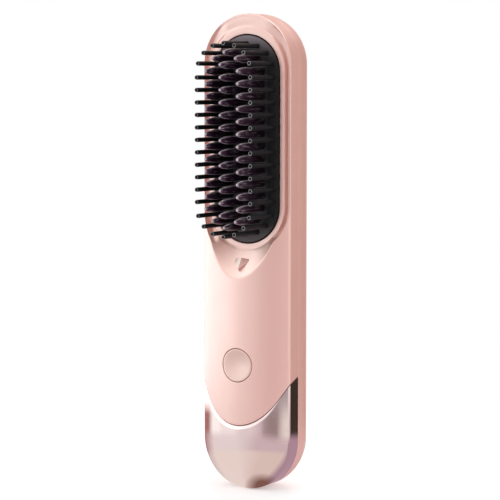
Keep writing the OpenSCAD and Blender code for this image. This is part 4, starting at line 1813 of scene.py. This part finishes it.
@dataclass
class HeatedTeeth:
    """Almond-shaped teeth that narrow to a blunt tip, each with its own cap."""

    length: float = 3.45
    width: float = 2.2
    neck_scale: Flat = (0.86, 0.96)
    nose: Flat = (5.0, 9.0)
    fullness: float = 0.66
    side_fullness: float = 0.56
    blunt: float = 0.16
    tip: float = 3.0
    sides: int = 20
    pointedness: float = 1.45
    joint: float = 0.05

    def outline(self) -> list[Flat]:
        """Section at the root as (x, z) offsets.

        Returns:
            The points.
        """
        points = []
        for k in range(self.sides):
            turn = 2 * math.pi * k / self.sides
            bulge = math.copysign(abs(math.sin(turn)) ** self.pointedness, math.sin(turn))
            points.append((self.width / 2 * bulge, self.length / 2 * math.cos(turn)))
        return points

    def scale(self, height: float, tall: float) -> Flat:
        """How much of the root's section is left at a height, as (x, z) shares.

        Args:
            height: Height above the pad's plane.
            tall: Height of the whole tooth.

        Returns:
            The shares.
        """
        shares = []
        power = self.fullness if tall == max(FIELD.teeth()) else self.side_fullness
        for neck, nose in zip(self.neck_scale, self.nose):
            left = max(0.0, 1 - (tall - height) / nose)
            shares.append(mix(1, neck, height / tall) * mix(self.blunt, 1, (1 - left * left) ** power))
        return tuple(shares)

    def station(self, tall: float, height: float, share: float = 1.0,
                at: float | None = None) -> tuple[float, Flat]:
        """Height and scale of a section, which is a share of the one there or at another height."""
        return height, tuple(share * s for s in self.scale(height if at is None else at, tall))

    def stack(self, name: str, tall: float, stations: Sequence[tuple[float, Flat]]) -> bpy.types.Object:
        """Extrudes the section through stations of height and scale and closes both ends.

        Args:
            name: Name of the piece.
            tall: Height of the whole tooth, from which each point's drop is kept for the finish.
            stations: Heights with the (x, z) shares of the section there.

        Returns:
            The closed solid.
        """
        bench = Bench(name)
        centre = CASING.place(0, 0, FIELD.middle)
        first, scales = stations[0]
        points = [CASING.place(x * scales[0], first, FIELD.middle + z * scales[1]) for x, z in self.outline()]
        bench.line(points)
        bench.fill()
        for (low, old), (high, new) in zip(stations, stations[1:]):
            bench.extrude(Vector((0, (low - high) * MM, 0)))
            bpy.ops.transform.resize(value=(new[0] / old[0], 1, new[1] / old[1]), center_override=centre)
        bench.close()
        bench.smooth(50)
        mesh = bench.object.data
        drop = mesh.attributes.new("drop", "FLOAT", "POINT")
        for entry, vertex in zip(drop.data, mesh.vertices):
            entry.value = tall - (CASING.pad_y - vertex.co.y / MM)
        return bench.object

    def shaft(self, tall: float) -> bpy.types.Object:
        """The heated part of a tooth.

        Args:
            tall: Height of the whole tooth.

        Returns:
            The closed solid, in the middle of the pad.
        """
        joint = tall - self.tip
        return self.stack("heated_tooth", tall, [
            self.station(tall, -0.02, 1.07, 0),
            self.station(tall, 0.1, 1.02, 0),
            *(self.station(tall, height) for height in (0.4, joint * 0.3)),
            *(self.station(tall, joint - drop) for drop in (6.6, 5.2, 4.0, 3.0, 2.1, 1.3, 0.6, 0.12)),
            self.station(tall, joint - 0.02, 0.97, joint),
            self.station(tall, joint + 0.6, 0.75, joint),
        ])

    def cap(self, tall: float) -> bpy.types.Object:
        """The tip of a tooth.

        Args:
            tall: Height of the whole tooth.

        Returns:
            The closed solid, in the middle of the pad.
        """
        joint = tall - self.tip
        return self.stack("tooth_tip", tall, [
            self.station(tall, joint + self.joint, 0.97, joint),
            self.station(tall, joint + 0.14, 1.0, joint),
            *(self.station(tall, tall - drop) for drop in (2.5, 2.0, 1.5, 1.1, 0.75, 0.45, 0.25, 0.12, 0.04)),
            self.station(tall, tall, 0.6),
        ])

    def build(self, palette: Palette) -> None:
        """Builds and seats all the teeth and their tips.

        Args:
            palette: The materials.
        """
        shafts, caps = [], []
        for tall, places in FIELD.teeth().items():
            shafts += spread(self.shaft(tall), places)
            caps += spread(self.cap(tall), places)
        for copies, name, slot, node in (
            (shafts, "heated_tooth_shafts", Slot.TOOTH, "heated_teeth"),
            (caps, "heated_tooth_tips", Slot.TOOTH_TIP, "tooth_tips"),
        ):
            seat(joined(copies, name), "root", slot, palette, node)


@dataclass
class PowerButton:
    """Round button that follows the crown, with a shallow dish for the thumb."""

    radius: float = 6.9
    dish: float = 1.05
    dish_rim: float = 0.5
    flange_r: float = 7.6
    flange_top: float = 5.35
    flange_low: float = 4.76
    rings: int = 18
    steps: int = 96

    def build(self, palette: Palette) -> None:
        """Builds and seats the button.

        Args:
            palette: The materials.
        """
        top, r = CASING.crown_height, self.radius
        profile = [(0.0, self.flange_low), (self.flange_r, self.flange_low), (self.flange_r, self.flange_top)]
        profile += [(r, self.flange_top), (r, top - 0.9), (r, top - 0.24), (r - 0.03, top - 0.11)]
        profile += [(r - 0.1, top - 0.03), (r - 0.22, top)]
        rim = r - self.dish_rim
        for k in range(self.rings + 1):
            reach = rim * (1 - k / self.rings)
            profile.append((reach, top - 0.02 - self.dish * (1 - (reach / rim) ** 2) ** 1.15))
        bench = Bench("power_button_cap")
        bench.turned(profile, CASING.button_z, self.steps)
        bench.move(self.drape)
        bench.smooth(40)
        seat(bench.object, "button", Slot.BUTTON, palette, "power_button")

    def drape(self, place: Vector) -> Vector:
        """Lets the top of the button follow the crown and leaves its flange flat.

        Args:
            place: A vertex's place.

        Returns:
            Its new place.
        """
        height = CASING.pad_y - place.y / MM
        if height <= self.flange_top:
            return place
        share = (height - self.flange_top) / (CASING.crown_height - self.flange_top)
        fall = (CASING.crown_height - CASING.front(place.x / MM)) * share
        return place + Vector((0, fall * MM, 0))


@dataclass
class IndicatorLens:
    """Shield-shaped window with a ridge down its middle, and its pocket in the basin."""

    rise: float = 6.1
    half_width: float = 3.0
    length: float = 5.6
    top_share: float = 0.36
    shoulder_share: float = 0.3
    ridge: float = 1.1
    proud: float = 0.2
    depth: float = 2.4
    pocket_gap: float = 0.15
    bevel: float = 0.14

    def place(self, u: float, v: float, w: float) -> Vector:
        """Point of the slope: u across, v up the slope, w out of it.

        Args:
            u: Distance across.
            v: Distance up.
            w: Distance out.

        Returns:
            The point.
        """
        z = CASING.basin_z + self.rise
        height = CASING.crown_height - self.rise * math.tan(CASING.basin_slope)
        down, up = math.cos(CASING.basin_slope), math.sin(CASING.basin_slope)
        return CASING.place(u, height - v * up + w * down, z + v * down + w * up)

    def outline(self, grow: float) -> list[Flat]:
        """Shield's (u, v) points, from the middle of its top edge round to the other top corner.

        Args:
            grow: How much larger the shield is on each side.

        Returns:
            The points.
        """
        half, top = self.half_width + grow, self.top_share * self.length + grow
        side = top - self.shoulder_share * self.length
        tip = top - self.length - 2 * grow
        return [(0, top), (half, top), (half, side), (0, tip), (-half, side), (-half, top)]

    def prism(self, name: str, grow: float, low: float, high: float) -> Bench:
        """Extrudes the shield from low to high, as two halves that meet in the middle.

        Args:
            name: Name of the piece.
            grow: How much larger the shield is on each side.
            low: How far out of the slope it starts.
            high: How far out it ends.

        Returns:
            The bench, still at work.
        """
        bench = Bench(name)
        points = [self.place(u, v, low) for u, v in self.outline(grow)]
        bench.line(points)
        bench.fill()
        bench.extrude(self.place(0, 0, high) - self.place(0, 0, low))
        bench.select()
        bpy.ops.mesh.bisect(plane_co=points[0], plane_no=(1, 0, 0))
        return bench

    def build(self, palette: Palette, casing: bpy.types.Object) -> None:
        """Cuts the pocket, and builds and seats the lens.

        Args:
            palette: The materials.
            casing: The front casing.
        """
        cutter = self.prism("lens_cutter", self.pocket_gap, -2 * self.depth, 3.0)
        cutter.close()
        cut(casing, cutter.object, "Pocket")
        bench = self.prism("status_window", 0.0, -self.depth, self.proud)
        out = (self.place(0, 0, 1) - self.place(0, 0, 0)).normalized()
        front = self.place(0, 0, self.proud).dot(out)
        bench.pick(lambda spot: abs(spot.x) < MERGE and spot.dot(out) > front - NEAR)
        bpy.ops.transform.translate(value=out * self.ridge * MM)
        bench.close()
        bench.modifier(
            "BEVEL", width=self.bevel * MM, segments=3, limit_method="ANGLE", angle_limit=math.radians(40))
        bench.smooth(32)
        seat(bench.object, "root", Slot.LENS, palette, "indicator_lens")


@dataclass(frozen=True)
class Lamp:
    """Soft rectangular lamp that points at the brush."""

    name: str
    azimuth: float
    elevation: float
    distance: float
    size: Flat
    power: float

    def build(self, target: Vector) -> None:
        """Hangs the lamp.

        Args:
            target: The point that it shines at.
        """
        way = bearing(math.radians(self.azimuth), math.radians(self.elevation))
        data = bpy.data.lights.new(self.name, "AREA")
        data.shape = "RECTANGLE"
        data.size, data.size_y = self.size
        data.energy = self.power
        lamp = linked(self.name, data)
        lamp.location = target + way * self.distance
        lamp.rotation_euler = way.to_track_quat("Z", "Y").to_euler()
        lamp.visible_glossy = False


@dataclass(frozen=True)
class Panel:
    """Upright panel of the studio that only gloss reflects."""

    azimuth: float
    half_width: float
    soft: float
    tint: Tint

    def light(self, graph: Graph, way: Wire, behind: object) -> Wire:
        """Colour seen along a way, with the panel in front of what is behind it.

        Args:
            graph: Node tree of the background.
            way: The way.
            behind: Colour behind the panel.

        Returns:
            The colour.
        """
        along = graph.vector("DOT_PRODUCT", way, bearing(math.radians(self.azimuth), 0))
        edge, core = (math.cos(math.radians(self.half_width + side * self.soft / 2)) for side in (1, -1))
        return graph.blend(along.ramp(edge, core), behind, (*self.tint, 1.0))


@dataclass
class Studio:
    """Camera at the photograph's angle, white surroundings, pale floor and soft lamps."""

    azimuth: float = math.radians(30.63)
    elevation: float = math.radians(4.91)
    roll: float = math.radians(0.03)
    distance: float = 0.847
    aim: Point = (-0.003116, 0.0066, 0.10066)
    lens: float = 143.9
    sensor: float = 36.0
    ambient: float = 0.55
    wall: Tint = (0.5, 0.46, 0.47)
    low_wall: Tint = (0.6, 0.5, 0.53)
    cornice_left: Tint = (3.4, 3.3, 3.1)
    cornice_right: Tint = (0.7, 0.66, 0.6)
    ceiling_left: Tint = (3.5, 3.3, 3.1)
    ceiling_right: Tint = (2.3, 2.2, 2.05)
    panels: tuple[Panel, ...] = (
        Panel(-30, 34, 30, (1.4, 1.39, 1.36)),
        Panel(-80, 44, 30, (2.8, 2.75, 2.68)),
        Panel(-165, 34, 20, (0.62, 0.36, 0.33)),
        Panel(92, 28, 14, (1.0, 0.95, 0.9)),
        Panel(152, 26, 8, (0.05, 0.04, 0.03)),
    )
    low_panels: tuple[Panel, ...] = (
        Panel(-14, 22, 24, (0.93, 0.87, 0.87)),
        Panel(-58, 30, 16, (1.13, 1.14, 1.11)),
        Panel(-78, 14, 10, (1.25, 1.33, 1.26)),
        Panel(34, 10, 18, (0.38, 0.31, 0.3)),
        Panel(72, 24, 14, (0.96, 0.94, 0.86)),
        Panel(152, 26, 10, (0.055, 0.042, 0.03)),
        Panel(-137, 45, 20, (0.47, 0.21, 0.19)),
    )
    apron: Tint = (0.745, 0.64, 0.665)
    apron_panels: tuple[Panel, ...] = (
        Panel(-65, 55, 40, (0.96, 0.935, 0.925)),
        Panel(115, 48, 12, (0.5, 0.36, 0.43)),
        Panel(-137, 42, 30, (0.52, 0.31, 0.3)),
    )
    table: Tint = (0.86, 0.765, 0.685)
    table_panels: tuple[Panel, ...] = (
        Panel(-60, 60, 50, (0.99, 0.95, 0.87)),
        Panel(115, 48, 12, (0.5, 0.36, 0.43)),
        Panel(-137, 42, 30, (0.72, 0.62, 0.62)),
    )
    shade: Tint = (0.26, 0.14, 0.11)
    shade_centre: Point = (0.0075, -0.0015, 0.0)
    shade_edge: Flat = (0.003, 0.009)
    floor_r: float = 0.33
    floor_tint: Tint = (0.94, 0.94, 0.94)
    floor_glow: float = 0.3
    floor_fade: Flat = (0.1, 0.31)
    lamp_aim: Point = (0.0, 0.0, 0.11)

    def camera(self) -> None:
        """Sets up the camera."""
        back = bearing(self.azimuth, self.elevation)
        data = bpy.data.cameras.new("camera")
        data.lens = self.lens
        data.sensor_width = self.sensor
        camera = linked("camera", data)
        camera.location = Vector(self.aim) + back * self.distance
        facing = back.to_track_quat("Z", "Y").to_matrix()
        camera.rotation_euler = (facing @ Matrix.Rotation(self.roll, 3, "Z")).to_euler()
        bpy.context.scene.camera = camera

    @staticmethod
    def show(graph: Graph, lit: Wire, mirrored: Wire, seen: Wire) -> None:
        """Gives a background its looks.

        Args:
            graph: Its node tree.
            lit: Shader whose light falls on the brush.
            mirrored: Shader that gloss reflects.
            seen: Shader that the camera sees, also through clear pieces.
        """
        camera, clear, glossy = (
            graph.add("ShaderNodeLightPath", output=ray)
            for ray in ("Is Camera Ray", "Is Transmission Ray", "Is Glossy Ray"))
        graph.finish(graph.choose(camera.most(clear), graph.choose(glossy, lit, mirrored), seen))

    @staticmethod
    def room(graph: Graph, way: Wire, wall: Tint, panels: Sequence[Panel]) -> Wire:
        """Colour that gloss sees along a way: a wall with its panels.

        Args:
            graph: Node tree of the background.
            way: The way.
            wall: Colour of the wall.
            panels: The panels, each in front of those before it.

        Returns:
            The colour.
        """
        look: object = (*wall, 1.0)
        for panel in panels:
            look = panel.light(graph, way, look)
        return look

    def world(self) -> None:
        """Gives the world its white look, its low fill light and the panels that gloss reflects."""
        world = bpy.data.worlds.new("studio")
        bpy.context.scene.world = world
        world.use_nodes = True
        graph = Graph(world.node_tree, "ShaderNodeOutputWorld")
        way = graph.add("ShaderNodeTexCoord", output="Generated")
        look = self.room(graph, way, self.wall, self.panels)
        rise, across = way.axis("Z"), way.axis("X")
        for band, side, left, right in (
            (rise.ramp(0.51, 0.56), across.ramp(-0.58, -0.72), self.cornice_left, self.cornice_right),
            (rise.ramp(0.6, 0.66), across.ramp(-0.2, -0.75), self.ceiling_left, self.ceiling_right),
        ):
            look = graph.blend(band, look, graph.blend(side, (*right, 1.0), (*left, 1.0)))
        self.show(graph, *(
            graph.add("ShaderNodeBackground", {"Color": tint, "Strength": strength})
            for tint, strength in ((WHITE, self.ambient), (look, 1.0), (WHITE, 1.0))))

    def floor(self) -> None:
        """Lays the pale floor, which runs out into the white surroundings."""
        bpy.ops.mesh.primitive_circle_add(vertices=96, radius=self.floor_r, fill_type="NGON")
        floor = bpy.context.object
        floor.name = "floor"
        made = bpy.data.materials.new("floor")
        made.use_nodes = True
        graph = Graph(made.node_tree)
        spot = graph.place()
        reach = graph.vector("LENGTH", spot)
        way = graph.vector("NORMALIZE", spot, output="Vector")
        look = self.room(graph, way, self.table, self.table_panels)
        for low, high, wall, panels in (
            (0.045, 0.065, self.apron, self.apron_panels),
            (0.135, 0.155, self.low_wall, self.low_panels),
            (0.2, 0.27, self.wall, self.panels),
        ):
            look = graph.blend(reach.ramp(low, high), look, self.room(graph, way, wall, panels))
        under = graph.vector("DISTANCE", spot, self.shade_centre)
        look = graph.blend(under.ramp(*self.shade_edge), (*self.shade, 1.0), look)
        glow, white, warm = (
            graph.add("ShaderNodeEmission", {"Color": tint, "Strength": strength})
            for tint, strength in ((WHITE, self.floor_glow), (WHITE, 1.0), (look, 1.0)))
        matt = graph.add("ShaderNodeBsdfDiffuse", {"Color": (*self.floor_tint, 1.0)})
        near = graph.add("ShaderNodeAddShader", {0: matt, 1: glow})
        self.show(graph, matt, warm, graph.choose(reach.ramp(*self.floor_fade), near, white))
        floor.data.materials.append(made)
        floor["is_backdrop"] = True

    def lamps(self) -> None:
        """Hangs the lamps."""
        target = Vector(self.lamp_aim)
        for lamp in (
            Lamp("key", -20, 25, 0.9, (0.7, 0.9), 1.2),
            Lamp("fill", 85, 15, 1.0, (0.8, 0.8), 4.2),
            Lamp("back", 200, 40, 1.0, (0.8, 0.8), 3.0),
        ):
            lamp.build(target)

    def build(self) -> None:
        """Builds the studio."""
        bpy.context.scene.view_settings.view_transform = "Standard"
        self.camera()
        self.world()
        self.floor()
        self.lamps()


def cut(piece: bpy.types.Object, cutter: bpy.types.Object, name: str) -> None:
    """Cuts one mesh out of another and removes it.

    Args:
        piece: The mesh that stays.
        cutter: The mesh that is taken out of it.
        name: Name of the modifier.
    """
    select_only(piece)
    cut_out = piece.modifiers.new(name, "BOOLEAN")
    cut_out.operation, cut_out.solver, cut_out.object = "DIFFERENCE", "EXACT", cutter
    bpy.ops.object.modifier_apply(modifier=cut_out.name)
    bpy.data.objects.remove(cutter)


def main() -> None:
    """Builds the studio and the brush, piece by piece."""
    logging.basicConfig(level=logging.INFO, format="%(message)s")
    Studio().build()
    palette = Palette()
    palette.dress_nodes()
    casing = FrontCasing().build(palette)
    IndicatorLens().build(palette, casing)
    for part in (MirrorCap(), RearCasing(), BristlePad(), CoolBristles(), HeatedTeeth(), PowerButton()):
        part.build(palette)


if __name__ == "__main__":
    main()
    boxes = {"cad": CAD_BOX, "visual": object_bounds()}
    {name: [list(corner) for corner in box] for name, box in boxes.items()}
